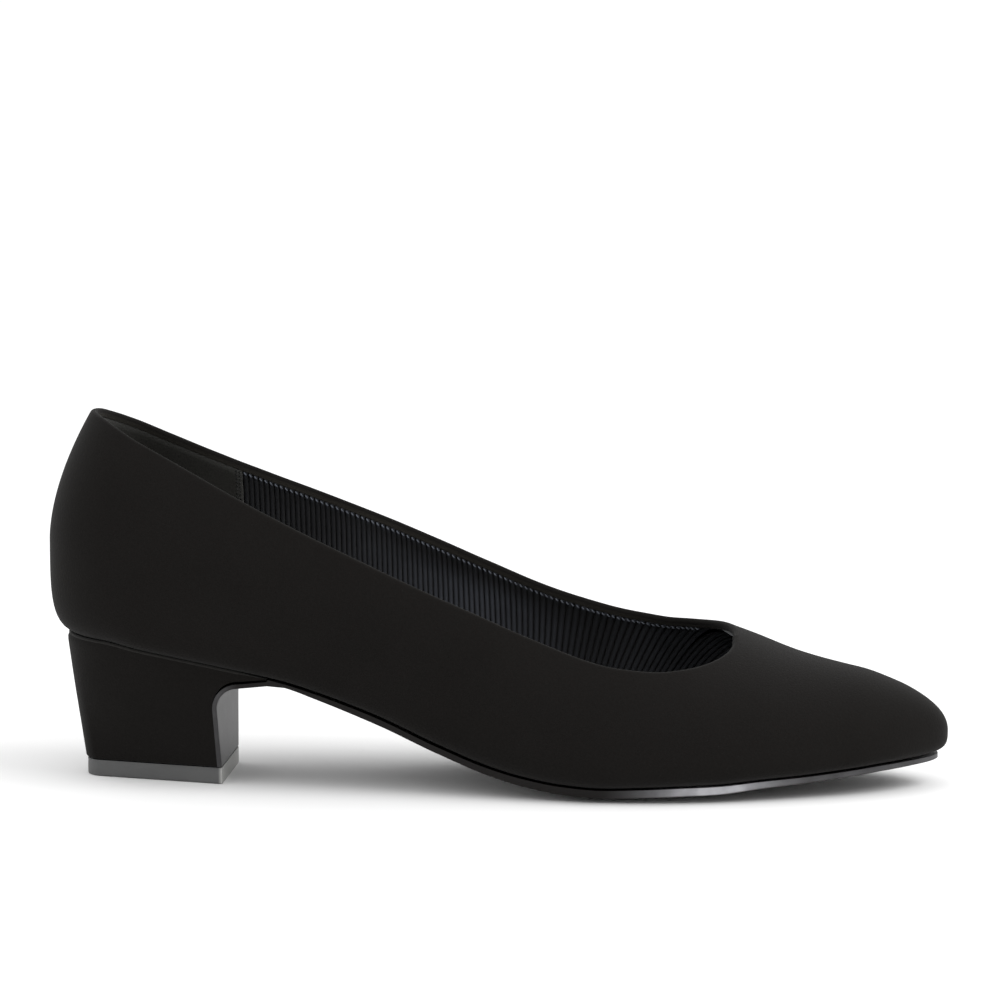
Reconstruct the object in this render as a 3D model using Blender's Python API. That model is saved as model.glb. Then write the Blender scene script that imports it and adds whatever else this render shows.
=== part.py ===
"""Block heel pump, right shoe: a hollow upper, an insole, a sole with a heel breast flap, a heel and its top lift.

X runs from the back of the heel to the toe, Y to the inner side of the foot, Z up from the floor.
Every piece is worked out from one last, whose cross sections are rows of a short table.
"""

import math
from typing import NamedTuple

import bmesh
import bpy
import numpy as np

# Driving sizes, in metres
SHOE_LENGTH = 0.246
BALL_WIDTH = 0.082
SEAT_WIDTH = 0.061
HEEL_HEIGHT = 0.040
BACK_HEIGHT = 0.0597
INSTEP_HEIGHT = 0.0371
TOE_SPRING = 0.0052
VAMP_LENGTH = 0.0568
THROAT_LENGTH = 0.0386
THROAT_OFFSET = 0.005

# Ends of the last
HEEL_ROUND = 0.030
TOE_ROUND = 0.024
BACK_LEAN = 0.0112
LEAN_POWER = 1.7

# Upper
WALL = 0.0018
FACING_WALL = 0.0025
FACING_HEIGHT = 0.0023
FACING_STEP = 0.0004
FACING_FADE = 0.020
LASTING = 0.012
FEATHER_POWER = 4.0
TOP_POWER = 2.0
THROAT_POWER = 2.4
HEEL_EASE = 0.65

# Sole, insole and the clearance between pieces
SEAT_INSET = 0.0045
TOE_INSET = 0.0027
INSET_POWER = 4.0
SOLE = 0.0022
FLAP = 0.0010
EDGE_ROUND = 0.0004
CROWN = 0.0018
TREAD_FLAT = 0.0005
BOARD = 0.0025
GAP = 0.0003

# Heel
TOP_LIFT = 0.0045
BREAST_FOOT = 0.0479
BREAST_SLANT = 0.0006
BREAST_RADIUS = 0.0075
WING_END = 0.0625
WING_TIP = 0.0005
WING_RISE = 0.0005
WING_BEND = 0.004
SEAT_SHARE = 0.97
HEEL_FOOT_BACK = 0.0094
HEEL_FOOT_WIDTH = 0.036
NOSE_SHARE = 0.36
HEEL_FOOT_ROUND = 0.0039
LIFT_ROUND = 0.0006

LATERAL, MEDIAL = -1, 1


class Section(NamedTuple):
    """One cross section of the last."""

    along: float  # from the back, of SHOE_LENGTH
    bulge: float  # widest line over the feather edge, of INSTEP_HEIGHT
    back: float  # ridge over the feather edge, the part of BACK_HEIGHT
    vamp: float  # and the part of INSTEP_HEIGHT
    lean: float  # ridge towards the inner side, of BALL_WIDTH
    spread: float  # local width, 0 for SEAT_WIDTH to 1 for BALL_WIDTH
    outer: float  # half width on the outer side, of the local width
    inner: float  # half width on the inner side, of the local width


SECTIONS = (
    Section(0.000, 0.69, 1.115, 0.00, 0.000, 0.00, 0.492, 0.492),
    Section(0.142, 0.42, 1.13, 0.00, 0.000, 0.00, 0.500, 0.492),
    Section(0.244, 0.46, 1.08, 0.22, 0.000, 0.00, 0.500, 0.492),
    Section(0.346, 0.48, 0.87, 0.60, 0.010, 0.05, 0.508, 0.484),
    Section(0.447, 0.51, 0.46, 1.00, 0.040, 0.20, 0.529, 0.475),
    Section(0.549, 0.42, 0.20, 1.22, 0.070, 0.75, 0.516, 0.464),
    Section(0.630, 0.35, 0.05, 1.35, 0.080, 1.00, 0.518, 0.457),
    Section(0.691, 0.30, 0.00, 1.20, 0.080, 1.00, 0.512, 0.476),
    Section(0.768, 0.255, 0.00, 0.968, 0.080, 1.00, 0.470, 0.457),
    Section(0.833, 0.213, 0.00, 0.780, 0.060, 1.00, 0.402, 0.396),
    Section(0.894, 0.178, 0.00, 0.652, 0.035, 1.00, 0.323, 0.305),
    Section(0.943, 0.162, 0.00, 0.560, 0.018, 1.00, 0.262, 0.241),
    Section(1.000, 0.160, 0.00, 0.508, 0.000, 1.00, 0.207, 0.207),
)


class Profile(NamedTuple):
    """The bottom of the last seen from the side."""

    along: float  # from the back, of SHOE_LENGTH
    rise: float  # feather edge over its height at the ball, 1 at the back of the heel
    spring: float  # feather edge over its height at the ball, of TOE_SPRING
    crown: float  # middle below the feather edge, of CROWN
    sole: float  # thickness of the sole, of SOLE


PROFILES = (
    Profile(0.000, 1.000, 0.00, 0.0, 0.45),
    Profile(0.069, 0.990, 0.00, 0.3, 0.45),
    Profile(0.114, 0.933, 0.00, 0.5, 0.45),
    Profile(0.203, 0.811, 0.00, 0.45, 0.45),
    Profile(0.272, 0.712, 0.00, 0.2, 0.45),
    Profile(0.313, 0.626, 0.00, 0.0, 0.64),
    Profile(0.378, 0.465, 0.00, 0.0, 0.82),
    Profile(0.447, 0.260, 0.00, 0.2, 0.82),
    Profile(0.492, 0.144, 0.00, 0.5, 0.86),
    Profile(0.537, 0.064, 0.00, 0.8, 0.91),
    Profile(0.581, 0.017, 0.00, 1.0, 0.96),
    Profile(0.626, 0.000, 0.00, 1.0, 1.00),
    Profile(0.667, 0.000, 0.05, 1.0, 1.00),
    Profile(0.711, 0.000, 0.14, 1.1, 1.00),
    Profile(0.752, 0.000, 0.20, 1.1, 0.98),
    Profile(0.797, 0.000, 0.38, 1.0, 0.86),
    Profile(0.841, 0.000, 0.50, 0.8, 0.77),
    Profile(0.882, 0.000, 0.65, 0.5, 0.72),
    Profile(0.927, 0.000, 0.85, 0.3, 0.68),
    Profile(0.972, 0.000, 0.97, 0.1, 0.62),
    Profile(1.000, 0.000, 1.00, 0.0, 0.55),
)


class Topline(NamedTuple):
    """Edge of the opening seen from the side: what stands over the heel's share of its height, of BACK_HEIGHT."""

    along: float
    outer: float
    inner: float


TOPLINES = (
    Topline(0.000, 1.014, 1.014),
    Topline(0.045, 1.014, 1.014),
    Topline(0.061, 1.004, 0.992),
    Topline(0.081, 0.978, 0.964),
    Topline(0.106, 0.942, 0.937),
    Topline(0.134, 0.906, 0.912),
    Topline(0.171, 0.865, 0.885),
    Topline(0.211, 0.829, 0.867),
    Topline(0.256, 0.799, 0.860),
    Topline(0.309, 0.777, 0.862),
    Topline(0.366, 0.761, 0.864),
    Topline(0.423, 0.744, 0.857),
    Topline(0.480, 0.721, 0.832),
    Topline(0.537, 0.684, 0.787),
    Topline(0.610, 0.620, 0.727),
    Topline(0.650, 0.585, 0.690),
    Topline(0.699, 0.534, 0.632),
    Topline(0.768, 0.478, 0.559),
)

# Rows of the mesh
HEEL_ROWS = 6
SIDE_ROWS = 11
THROAT_ROWS = 8
VAMP_ROWS = 4
TOE_ROWS = 6
FEATHER_TURNS = (90, 70, 55, 44, 32, 18, 0)
WALL_COLUMNS = 7
RIM_ROWS = 3
BOARD_LEVELS = (0.0, 0.3, 0.65, 1.0)
BOARD_COLUMNS = 5
SOLE_COLUMNS = 9
BREAST_LEG = (0.0, 0.35, 0.7)
BREAST_ROWS = 5
WING_STEPS = (0.5, 1.0)
SEAT_ROWS = 8
HEEL_COLUMNS = 7
FINE = 120
MERGE = 2e-6
SHARP_ANGLE = 40


def smooth(table, name, at):
    """Curve through one column of a table that never overshoots its rows."""
    xs = np.array([row.along for row in table])
    ys = np.array([getattr(row, name) for row in table])
    step = np.diff(xs)
    rate = np.diff(ys) / step
    slope = np.zeros(len(xs))
    same = rate[:-1] * rate[1:] > 0
    weight = (step[:-1] + 2 * step[1:]) / (3 * (step[:-1] + step[1:]))
    safe = np.where(same, (1 - weight) * rate[:-1] + weight * rate[1:], 1.0)
    slope[1:-1] = np.where(same, rate[:-1] * rate[1:] / safe, 0.0)
    at = np.clip(np.asarray(at, float), 0.0, 1.0)
    k = np.clip(np.searchsorted(xs, at, side="right") - 1, 0, len(step) - 1)
    t = (at - xs[k]) / step[k]
    rise = ys[k] + (ys[k + 1] - ys[k]) * t * t * (3 - 2 * t)
    return rise + step[k] * t * (1 - t) * (slope[k] * (1 - t) - slope[k + 1] * t)


def half_width(at, side):
    """Half width of the last at its widest line, before its ends close."""
    spread = smooth(SECTIONS, "spread", at)
    local = SEAT_WIDTH + (BALL_WIDTH - SEAT_WIDTH) * spread
    return local * smooth(SECTIONS, "outer" if side == LATERAL else "inner", at)


def edge_height(at):
    """Feather edge of the last over the floor."""
    ball = SOLE + GAP + CROWN - TREAD_FLAT
    return ball + (HEEL_HEIGHT - ball) * smooth(PROFILES, "rise", at) + TOE_SPRING * smooth(PROFILES, "spring", at)


def bottom(x, y):
    """Underside of the last, a little lower in the middle than at its edge."""
    at = x / SHOE_LENGTH
    side = np.where(np.asarray(y) < 0, half_width(at, LATERAL), half_width(at, MEDIAL))
    middle = np.clip(1 - (y / (side - SEAT_INSET)) ** 2, 0, 1)
    return edge_height(at) - CROWN * smooth(PROFILES, "crown", at) * middle


def ends(at):
    """How far the heel and the toe have closed: their cosines, which are 0 past the round ends."""
    from_back = np.clip(1 - at * SHOE_LENGTH / HEEL_ROUND, 0, 1)
    from_toe = np.clip(1 - (1 - at) * SHOE_LENGTH / TOE_ROUND, 0, 1)
    return from_back, from_toe


def outline(at, side, inset):
    """Plan point of the last's outline, moved in by inset."""
    from_back, from_toe = ends(at)
    closed = np.sqrt((1 - from_back**2) * (1 - from_toe**2))
    x = at * SHOE_LENGTH + inset * (from_back - from_toe)
    return x, side * (half_width(at, side) - inset) * closed


def feather_inset(at):
    """How far the sole's edge lies inside the widest line."""
    return SEAT_INSET + (TOE_INSET - SEAT_INSET) * np.clip(at, 0, 1) ** INSET_POWER


def lower_wall(at, side, turn):
    """Last from the widest line (turn 0) round the feather edge to the lasting edge (turn 90 degrees)."""
    power = 2 / FEATHER_POWER
    inset = LASTING * (1 - np.cos(turn) ** power)
    x, y = outline(at, side, inset)
    widest = edge_height(at) + INSTEP_HEIGHT * smooth(SECTIONS, "bulge", at)
    z = widest - (widest - bottom(x, y)) * np.sin(turn) ** power
    return np.stack([x + 0 * z, y + 0 * z, z], -1)


def upper_wall(at, side, turn):
    """Last from the widest line (turn 0) to the ridge (turn 90 degrees)."""
    power = 2 / TOP_POWER
    from_back, from_toe = ends(at)
    edge = edge_height(at)
    widest = edge + INSTEP_HEIGHT * smooth(SECTIONS, "bulge", at)
    ridge = edge + BACK_HEIGHT * smooth(SECTIONS, "back", at) + INSTEP_HEIGHT * smooth(SECTIONS, "vamp", at)
    ridge_y = BALL_WIDTH * smooth(SECTIONS, "lean", at)
    closed = np.sqrt((1 - from_back**2) * (1 - from_toe**2))
    y = ridge_y + (side * half_width(at, side) - ridge_y) * np.cos(turn) ** power
    z = widest + (ridge - widest) * math.sqrt(1 - from_toe**2) * np.sin(turn) ** power
    top = edge_height(0.0) + BACK_HEIGHT
    lean = BACK_LEAN * np.clip((z - widest) / (top - widest), 0, None) ** LEAN_POWER
    return np.stack([at * SHOE_LENGTH + lean * from_back, y * closed, z], -1)


def stations():
    """Rows along the last, close together at the heel, the throat and the toe, and the throat's row."""
    throat = SHOE_LENGTH - VAMP_LENGTH
    opening = throat - THROAT_LENGTH
    heel = HEEL_ROUND * (1 - np.cos(np.linspace(0, np.pi / 2, HEEL_ROWS + 1)))
    side = np.linspace(HEEL_ROUND, opening, SIDE_ROWS + 1)[1:]
    curve = opening + THROAT_LENGTH * np.sin(np.linspace(0, np.pi / 2, THROAT_ROWS + 1))[1:]
    past = throat + FACING_HEIGHT + np.array([0.0, FACING_STEP])
    vamp = np.linspace(past[-1], SHOE_LENGTH - TOE_ROUND, VAMP_ROWS + 1)[1:]
    toe = SHOE_LENGTH - TOE_ROUND * (1 - np.sin(np.linspace(0, np.pi / 2, TOE_ROWS + 1)))[1:]
    rows = np.concatenate([heel, side, curve, past, vamp, toe]) / SHOE_LENGTH
    return rows, HEEL_ROWS + SIDE_ROWS + THROAT_ROWS


def topline(x, name):
    """Edge of the opening over the floor: the heel's height, which eases out forward, and the table's part."""
    at = x / SHOE_LENGTH
    ease = np.cos(np.pi / 2 * np.clip(at / HEEL_EASE, 0, 1)) ** 2
    return HEEL_HEIGHT * ease + BACK_HEIGHT * smooth(TOPLINES, name, at)


def opening_span(at, wall, arc, middle, name):
    """Way up one wall from the widest line to the opening, which closes on the middle line at the throat."""
    start = (SHOE_LENGTH - VAMP_LENGTH - THROAT_LENGTH) / SHOE_LENGTH
    t = np.clip((at - start) * SHOE_LENGTH / THROAT_LENGTH, 0, 1)
    left = (1 - t**THROAT_POWER) ** (1 / THROAT_POWER)
    span = np.interp(0.0, wall[:, 2] - topline(wall[:, 0], name), arc)
    return middle - (middle - span) * left


def wall_columns(at):
    """Points of both walls at one station, from the lasting edge up to the opening or the middle line."""
    turns = np.linspace(0, np.pi / 2, FINE)
    outer = upper_wall(at, LATERAL, turns)
    inner = upper_wall(at, MEDIAL, turns)
    arch = np.concatenate([outer, inner[-2::-1]])
    arc = np.concatenate([[0], np.cumsum(np.linalg.norm(np.diff(arch, axis=0), axis=1))])
    throat = (SHOE_LENGTH - VAMP_LENGTH) / SHOE_LENGTH
    middle_y = -THROAT_OFFSET * min(1.0, (1 - at) / (1 - throat))
    ridge_y = BALL_WIDTH * smooth(SECTIONS, "lean", at)
    share = (ridge_y - middle_y) / (ridge_y + half_width(at, LATERAL))
    middle = np.interp(np.arccos(share ** (TOP_POWER / 2)), turns, arc[:FINE])
    past = max(0.0, (at - throat) * SHOE_LENGTH - FACING_HEIGHT - FACING_STEP) / FACING_FADE
    feather = np.radians(np.array(FEATHER_TURNS[:-1], float))
    outer_span = opening_span(at, outer, arc[:FINE], middle, "outer")
    inner_span = opening_span(at, inner, arc[-1] - arc[: FINE - 2 : -1], arc[-1] - middle, "inner")
    sides = []
    for side, span in ((LATERAL, outer_span), (MEDIAL, inner_span)):
        even = np.linspace(0, 1, WALL_COLUMNS + 3) * span
        band = min(FACING_HEIGHT + FACING_STEP, span / 4)
        rows = np.linspace(0, span - band, WALL_COLUMNS + 1)
        rows = np.concatenate([rows, [span - band * FACING_HEIGHT / (FACING_HEIGHT + FACING_STEP), span]])
        rows = rows + (even - rows) * min(1.0, past)
        at_arc = rows if side == LATERAL else arc[-1] - rows
        wall = np.stack([np.interp(at_arc, arc, arch[:, k]) for k in range(3)], -1)
        sides.append(np.concatenate([lower_wall(at, side, feather), wall]))
    return sides


def boundary(rows, columns):
    """Cells on the rim of a grid, in order around it."""
    loop = [(0, c) for c in range(columns)] + [(r, columns - 1) for r in range(1, rows)]
    loop += [(rows - 1, c) for c in range(columns - 2, -1, -1)] + [(r, 0) for r in range(rows - 2, 0, -1)]
    return loop


def add_object(name, points, faces, colour, roughness, root):
    """Closed mesh with its own material, its faces pointing out."""
    bm = bmesh.new()
    verts = [bm.verts.new(p) for p in points]
    for face in faces:
        corners = list(dict.fromkeys(face))
        if len(corners) > 2:
            bm.faces.new([verts[i] for i in corners])
    bmesh.ops.remove_doubles(bm, verts=bm.verts, dist=MERGE)
    bmesh.ops.dissolve_degenerate(bm, edges=bm.edges, dist=MERGE)
    bmesh.ops.triangulate(bm, faces=bm.faces)
    bmesh.ops.recalc_face_normals(bm, faces=bm.faces)
    mesh = bpy.data.meshes.new(name)
    bm.to_mesh(mesh)
    bm.free()
    mesh.shade_smooth()
    mesh.set_sharp_from_angle(angle=math.radians(SHARP_ANGLE))
    material = bpy.data.materials.new(name)
    material.use_nodes = True
    surface = material.node_tree.nodes["Principled BSDF"]
    surface.inputs["Base Color"].default_value = (*colour, 1)
    surface.inputs["Roughness"].default_value = roughness
    mesh.materials.append(material)
    piece = bpy.data.objects.new(name, mesh)
    piece.parent = root
    bpy.context.collection.objects.link(piece)
    return piece


def slab(top, bands, under):
    """Points and faces of a solid between two grids of the same size, through loops around its side."""
    rows, columns = top.shape[:2]
    loop = boundary(rows, columns)
    points = [*top.reshape(-1, 3), *under.reshape(-1, 3)]
    rings = [[r * columns + c for r, c in loop]]
    for band in bands:
        rings.append(list(range(len(points), len(points) + len(loop))))
        points.extend(band)
    rings.append([rows * columns + r * columns + c for r, c in loop])
    faces = []
    for start in (0, rows * columns):
        for r in range(rows - 1):
            for c in range(columns - 1):
                k = start + r * columns + c
                faces.append((k, k + 1, k + columns + 1, k + columns))
    for upper, lower in zip(rings[:-1], rings[1:]):
        for k in range(len(loop)):
            n = (k + 1) % len(loop)
            faces.append((upper[k], upper[n], lower[n], lower[k]))
    return points, faces


def upper_sheet():
    """Outer face of the upper: its points, faces, the number of each grid point and the throat's row."""
    rows, throat = stations()
    columns = len(FEATHER_TURNS) + WALL_COLUMNS + 2
    number = np.zeros((len(rows), 2, columns), int)
    points = []
    for i, at in enumerate(rows):
        for s, wall in enumerate(wall_columns(at)):
            for j, point in enumerate(wall):
                closed_end = i == 0 or i == len(rows) - 1
                at_nose = i == len(rows) - 1 and j >= len(FEATHER_TURNS)
                if at_nose:
                    number[i, s, j] = number[i, 0, len(FEATHER_TURNS) - 1]
                elif s == 1 and (closed_end or (i >= throat and j == columns - 1)):
                    number[i, s, j] = number[i, 0, j]
                else:
                    number[i, s, j] = len(points)
                    points.append(point)
    faces = []
    for s in range(2):
        for i in range(len(rows) - 1):
            for j in range(columns - 1):
                quad = [number[i, s, j], number[i + 1, s, j], number[i + 1, s, j + 1], number[i, s, j + 1]]
                faces.append(quad if s == 0 else quad[::-1])
    return np.array(points), faces, number, throat


def normals_of(points, faces):
    """Normal at each point, from the faces around it."""
    total = np.zeros_like(points)
    for face in faces:
        a, b, c, d = (points[k] for k in face)
        total[face] += np.cross(c - a, d - b)
    return total / np.linalg.norm(total, axis=1, keepdims=True)


def ring_of(number, column, last):
    """Points of one column in order around the shoe, up to a last row."""
    outer = [number[i, 0, column] for i in range(last + 1)]
    inner = [number[i, 1, column] for i in range(last - 1, 0, -1)]
    return outer + inner


def upper(points, faces, number, throat, normals):
    """Hollow upper: the outer sheet, the inner one a wall inside it, and the rims that join them."""
    count = len(points)
    top = ring_of(number, number.shape[2] - 1, throat)
    away = np.linalg.norm(points[:, None] - points[top][None], axis=2).min(axis=1)
    band = np.clip((FACING_HEIGHT + FACING_STEP - away) / FACING_STEP, 0, 1)
    thick = WALL + (FACING_WALL - WALL) * band
    solid = [*points, *(points - normals * thick[:, None])]
    made = [list(face) for face in faces] + [[k + count for k in face[::-1]] for face in faces]
    place = points[top]
    along = np.roll(place, -1, axis=0) - np.roll(place, 1, axis=0)
    out = np.cross(normals[top], along)
    out /= np.linalg.norm(out, axis=1, keepdims=True)
    rows = [top]
    for angle in np.linspace(0, np.pi, RIM_ROWS + 2)[1:-1]:
        half = thick[top][:, None] / 2
        arc = place - half * normals[top] * (1 - math.cos(angle)) + half * out * math.sin(angle)
        rows.append(list(range(len(solid), len(solid) + len(top))))
        solid.extend(arc)
    rows.append([k + count for k in top])
    edge = ring_of(number, 0, number.shape[0] - 1)
    for upper_row, lower_row in [*zip(rows[:-1], rows[1:]), (edge, [k + count for k in edge])]:
        for k in range(len(upper_row)):
            n = (k + 1) % len(upper_row)
            made.append([upper_row[k], upper_row[n], lower_row[n], lower_row[k]])
    return solid, made


def spread_across(left, right, columns):
    """Grid between two edges."""
    t = np.linspace(0, 1, columns)[None, :, None]
    return left[:, None] * (1 - t) + right[:, None] * t


def insole(points, number, normals):
    """Board inside the upper, with a step below that fills the hole between the lasting edges."""
    lift = WALL + GAP
    inside = points - normals * lift
    rows, _ = stations()
    sides = []
    for s in range(2):
        walls = inside[number[:, s, : len(FEATHER_TURNS)]]
        levels = []
        for share in BOARD_LEVELS:
            level = []
            for wall in walls:
                over = wall[:, 2] - bottom(wall[:, 0], wall[:, 1])
                wanted = over[0] + share * BOARD
                level.append([np.interp(wanted, over, wall[:, k]) for k in range(3)])
            levels.append(np.array(level))
        sides.append(levels)
    step = []
    for side in (LATERAL, MEDIAL):
        x, y = outline(rows, side, LASTING + 2 * GAP)
        step.append(np.stack([x, y, bottom(x, y)], -1))
    top = spread_across(sides[0][-1], sides[1][-1], BOARD_COLUMNS)
    top[..., 2] = bottom(top[..., 0], top[..., 1]) + lift + BOARD
    under = spread_across(step[0], step[1], BOARD_COLUMNS)
    under[..., 2] = bottom(under[..., 0], under[..., 1])
    loop = boundary(len(rows), BOARD_COLUMNS)
    bands = []
    for level in range(len(BOARD_LEVELS) - 2, -1, -1):
        grid = spread_across(sides[0][level], sides[1][level], BOARD_COLUMNS)
        bands.append([grid[r, c] for r, c in loop])
    raised = under.copy()
    raised[..., 2] += lift
    bands.append([raised[r, c] for r, c in loop])
    return slab(top, bands, under)


def breast():
    """Front of the heel in its middle plane, from its foot up to the end of its wing: x, z and the way out."""
    foot = TOP_LIFT + GAP
    tip_top = edge_height(WING_END / SHOE_LENGTH) - CROWN * smooth(PROFILES, "crown", WING_END / SHOE_LENGTH) - GAP
    roof = tip_top - WING_TIP - WING_RISE
    waist = BREAST_FOOT - BREAST_SLANT
    line = [(BREAST_FOOT - BREAST_SLANT * t, foot + (roof - BREAST_RADIUS - foot) * t) for t in BREAST_LEG]
    for angle in np.linspace(0, np.pi / 2, BREAST_ROWS + 1):
        line.append((waist + BREAST_RADIUS * (1 - math.cos(angle)), roof - BREAST_RADIUS * (1 - math.sin(angle))))
    start = waist + BREAST_RADIUS
    line += [(start + (WING_END - start) * t, roof + WING_RISE * t) for t in WING_STEPS]
    line = np.array(line)
    way = np.gradient(line, axis=0)
    way /= np.linalg.norm(way, axis=1, keepdims=True)
    return line, np.stack([way[:, 1], -way[:, 0]], -1)


def breast_half(z):
    """Half width of the heel's front at a height."""
    foot = TOP_LIFT + GAP
    line, _ = breast()
    seat = half_width(WING_END / SHOE_LENGTH, MEDIAL) - SEAT_INSET
    share = np.clip((z - foot) / (line[-1, 1] - foot), 0, 1)
    return HEEL_FOOT_WIDTH / 2 + (seat - HEEL_FOOT_WIDTH / 2) * share


def outsole():
    """Sole from the toe back to the waist, then down the heel breast."""
    rows, _ = stations()
    line, way = breast()
    ahead = rows[rows * SHOE_LENGTH > WING_END + WING_BEND][::-1]
    inset = feather_inset(ahead)
    left = np.stack([*outline(ahead, LATERAL, inset), 0 * ahead], -1)
    right = np.stack([*outline(ahead, MEDIAL, inset), 0 * ahead], -1)
    top = spread_across(left, right, SOLE_COLUMNS)
    top[..., 2] = bottom(top[..., 0], top[..., 1]) - GAP
    thick = SOLE * smooth(PROFILES, "sole", top[..., 0] / SHOE_LENGTH)
    under = top.copy()
    under[..., 2] -= thick
    across = np.linspace(-1, 1, SOLE_COLUMNS)
    flap_top, flap_under = [], []
    for (x, z), (nx, nz), w in zip(line[::-1], way[::-1], breast_half(line[::-1, 1])):
        flap_top.append([(x + nx * GAP, w * a, z + nz * GAP) for a in across])
        flap_under.append([(x + nx * (GAP + FLAP), w * a, z + nz * (GAP + FLAP)) for a in across])
    top = np.concatenate([top, np.array(flap_top)])
    under = np.concatenate([under, np.array(flap_under)])
    depth = np.linalg.norm(under - top, axis=2, keepdims=True)
    side = under + (top - under) * EDGE_ROUND / depth
    middle = under.mean(axis=1, keepdims=True)
    width = np.linalg.norm(under[:, -1:] - under[:, :1], axis=2, keepdims=True)
    under = middle + (under - middle) * np.clip(1 - 2 * EDGE_ROUND / np.maximum(width, EDGE_ROUND), 0, 1)
    for grid in (side, under):
        grid[..., 2] = np.maximum(grid[..., 2], 0.0)
    return slab(top, [[side[r, c] for r, c in boundary(*top.shape[:2])]], under)


def across_middle(x, y):
    """Grid over an outline that is the same on both sides."""
    return spread_across(np.stack([x, -y, 0 * x], -1), np.stack([x, y, 0 * x], -1), HEEL_COLUMNS)


def heel_rows():
    """Shares of the way from the back of the heel to its front, close together at the back."""
    return 1 - np.cos(np.linspace(0, np.pi / 2, SEAT_ROWS + 1))


def seat_outline(share):
    """Heel's outline below the seat."""
    x0 = feather_inset(0.0)
    x = x0 + (WING_END - x0) * share
    at = np.clip((x - x0) / (HEEL_ROUND - x0), 0, 1)
    closed = np.sqrt(1 - (1 - at) ** 2)
    width = half_width(x / SHOE_LENGTH, MEDIAL) - SEAT_INSET
    return x, width * closed


def foot_outline(share, front):
    """Heel's outline at its foot: a wedge with a round back."""
    length = front - HEEL_FOOT_BACK
    x = HEEL_FOOT_BACK + length * share
    closed = np.sqrt(1 - (1 - np.clip(share * length / HEEL_FOOT_ROUND, 0, 1)) ** 2)
    return x, HEEL_FOOT_WIDTH / 2 * (NOSE_SHARE + (1 - NOSE_SHARE) * share) * closed


def heel_block():
    """Heel from its foot up to the seat, with a wing forward under the waist."""
    share = heel_rows()
    line, _ = breast()
    foot_x, foot_y = foot_outline(share, BREAST_FOOT)
    seat_x, seat_y = seat_outline(share)
    foot = TOP_LIFT + GAP
    levels = []
    rise = np.concatenate([[0], np.cumsum(np.linalg.norm(np.diff(line, axis=0), axis=1))])
    rise /= rise[-1]
    for (front_x, front_z), up in zip(line, rise):
        back_share = SEAT_SHARE * up
        x0 = foot_x[0] + (seat_x[0] - foot_x[0]) * back_share
        x = x0 + (front_x - x0) * share
        shape = (1 - back_share) * foot_y / foot_y[-1] + back_share * seat_y / seat_y[-1]
        y = shape * breast_half(front_z)
        levels.append((x, y, back_share, front_z))
    top = across_middle(seat_x, seat_y)
    top[..., 2] = bottom(top[..., 0], top[..., 1]) - GAP
    grids = []
    for x, y, back_share, front_z in levels:
        grid = across_middle(x, y)
        roof = bottom(grid[..., 0], grid[..., 1]) - GAP
        front_share = (front_z - foot) / (roof[-1, HEEL_COLUMNS // 2] - foot)
        up = back_share + (front_share - back_share) * share[:, None] ** 2
        grid[..., 2] = foot + up * (roof - foot)
        grids.append(grid)
    loop = boundary(len(share), HEEL_COLUMNS)
    bands = [[grid[r, c] for r, c in loop] for grid in grids[:0:-1]]
    return slab(top, bands, grids[0])


def top_lift():
    """Hard rubber lift under the heel and the end of the breast flap."""
    share = heel_rows()
    x, y = foot_outline(share, BREAST_FOOT + GAP + FLAP)
    top = across_middle(x, y)
    top[..., 2] = TOP_LIFT
    under = top.copy()
    centre = under.reshape(-1, 3).mean(axis=0)
    under[..., :2] = centre[:2] + (under[..., :2] - centre[:2]) * (1 - LIFT_ROUND / (HEEL_FOOT_WIDTH / 2))
    under[..., 2] = 0.0
    loop = boundary(len(share), HEEL_COLUMNS)
    band = [np.array([top[r, c][0], top[r, c][1], LIFT_ROUND]) for r, c in loop]
    return slab(top, [band], under)


def build():
    """All pieces, with the middle of the shoe's box at the origin."""
    for old in list(bpy.data.objects):
        bpy.data.objects.remove(old, do_unlink=True)
    sheet, faces, number, throat = upper_sheet()
    normals = normals_of(sheet, faces)
    nubuck, black = (0.011, 0.010, 0.010), (0.02, 0.019, 0.018)
    pieces = {
        "upper": (upper(sheet, faces, number, throat, normals), nubuck, 0.9),
        "insole": (insole(sheet, number, normals), (0.03, 0.03, 0.028), 0.8),
        "outsole": (outsole(), black, 0.35),
        "heel_block": (heel_block(), nubuck, 0.9),
        "top_lift": (top_lift(), (0.13, 0.13, 0.12), 0.6),
    }
    every = np.concatenate([np.array(solid[0]) for solid, _, _ in pieces.values()])
    middle = (every.min(axis=0) + every.max(axis=0)) / 2
    root = bpy.data.objects.new("pump", None)
    root.location = (-middle[0], -middle[1], 0.0)
    bpy.context.collection.objects.link(root)
    for name, ((points, made), colour, roughness) in pieces.items():
        add_object(name, points, made, colour, roughness, root)


build()
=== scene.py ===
"""Looks of a block heel pump, right shoe: nubuck, linings, seams, sock, sole, heel and studio.

X runs from the back of the heel to the toe, Y to the inner side of the foot and Z up, in metres.
Every surface is worked out on the same last as the solids, at a finer step.
"""

import logging
import math
from dataclasses import dataclass, field
from enum import Enum
from typing import NamedTuple

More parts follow.
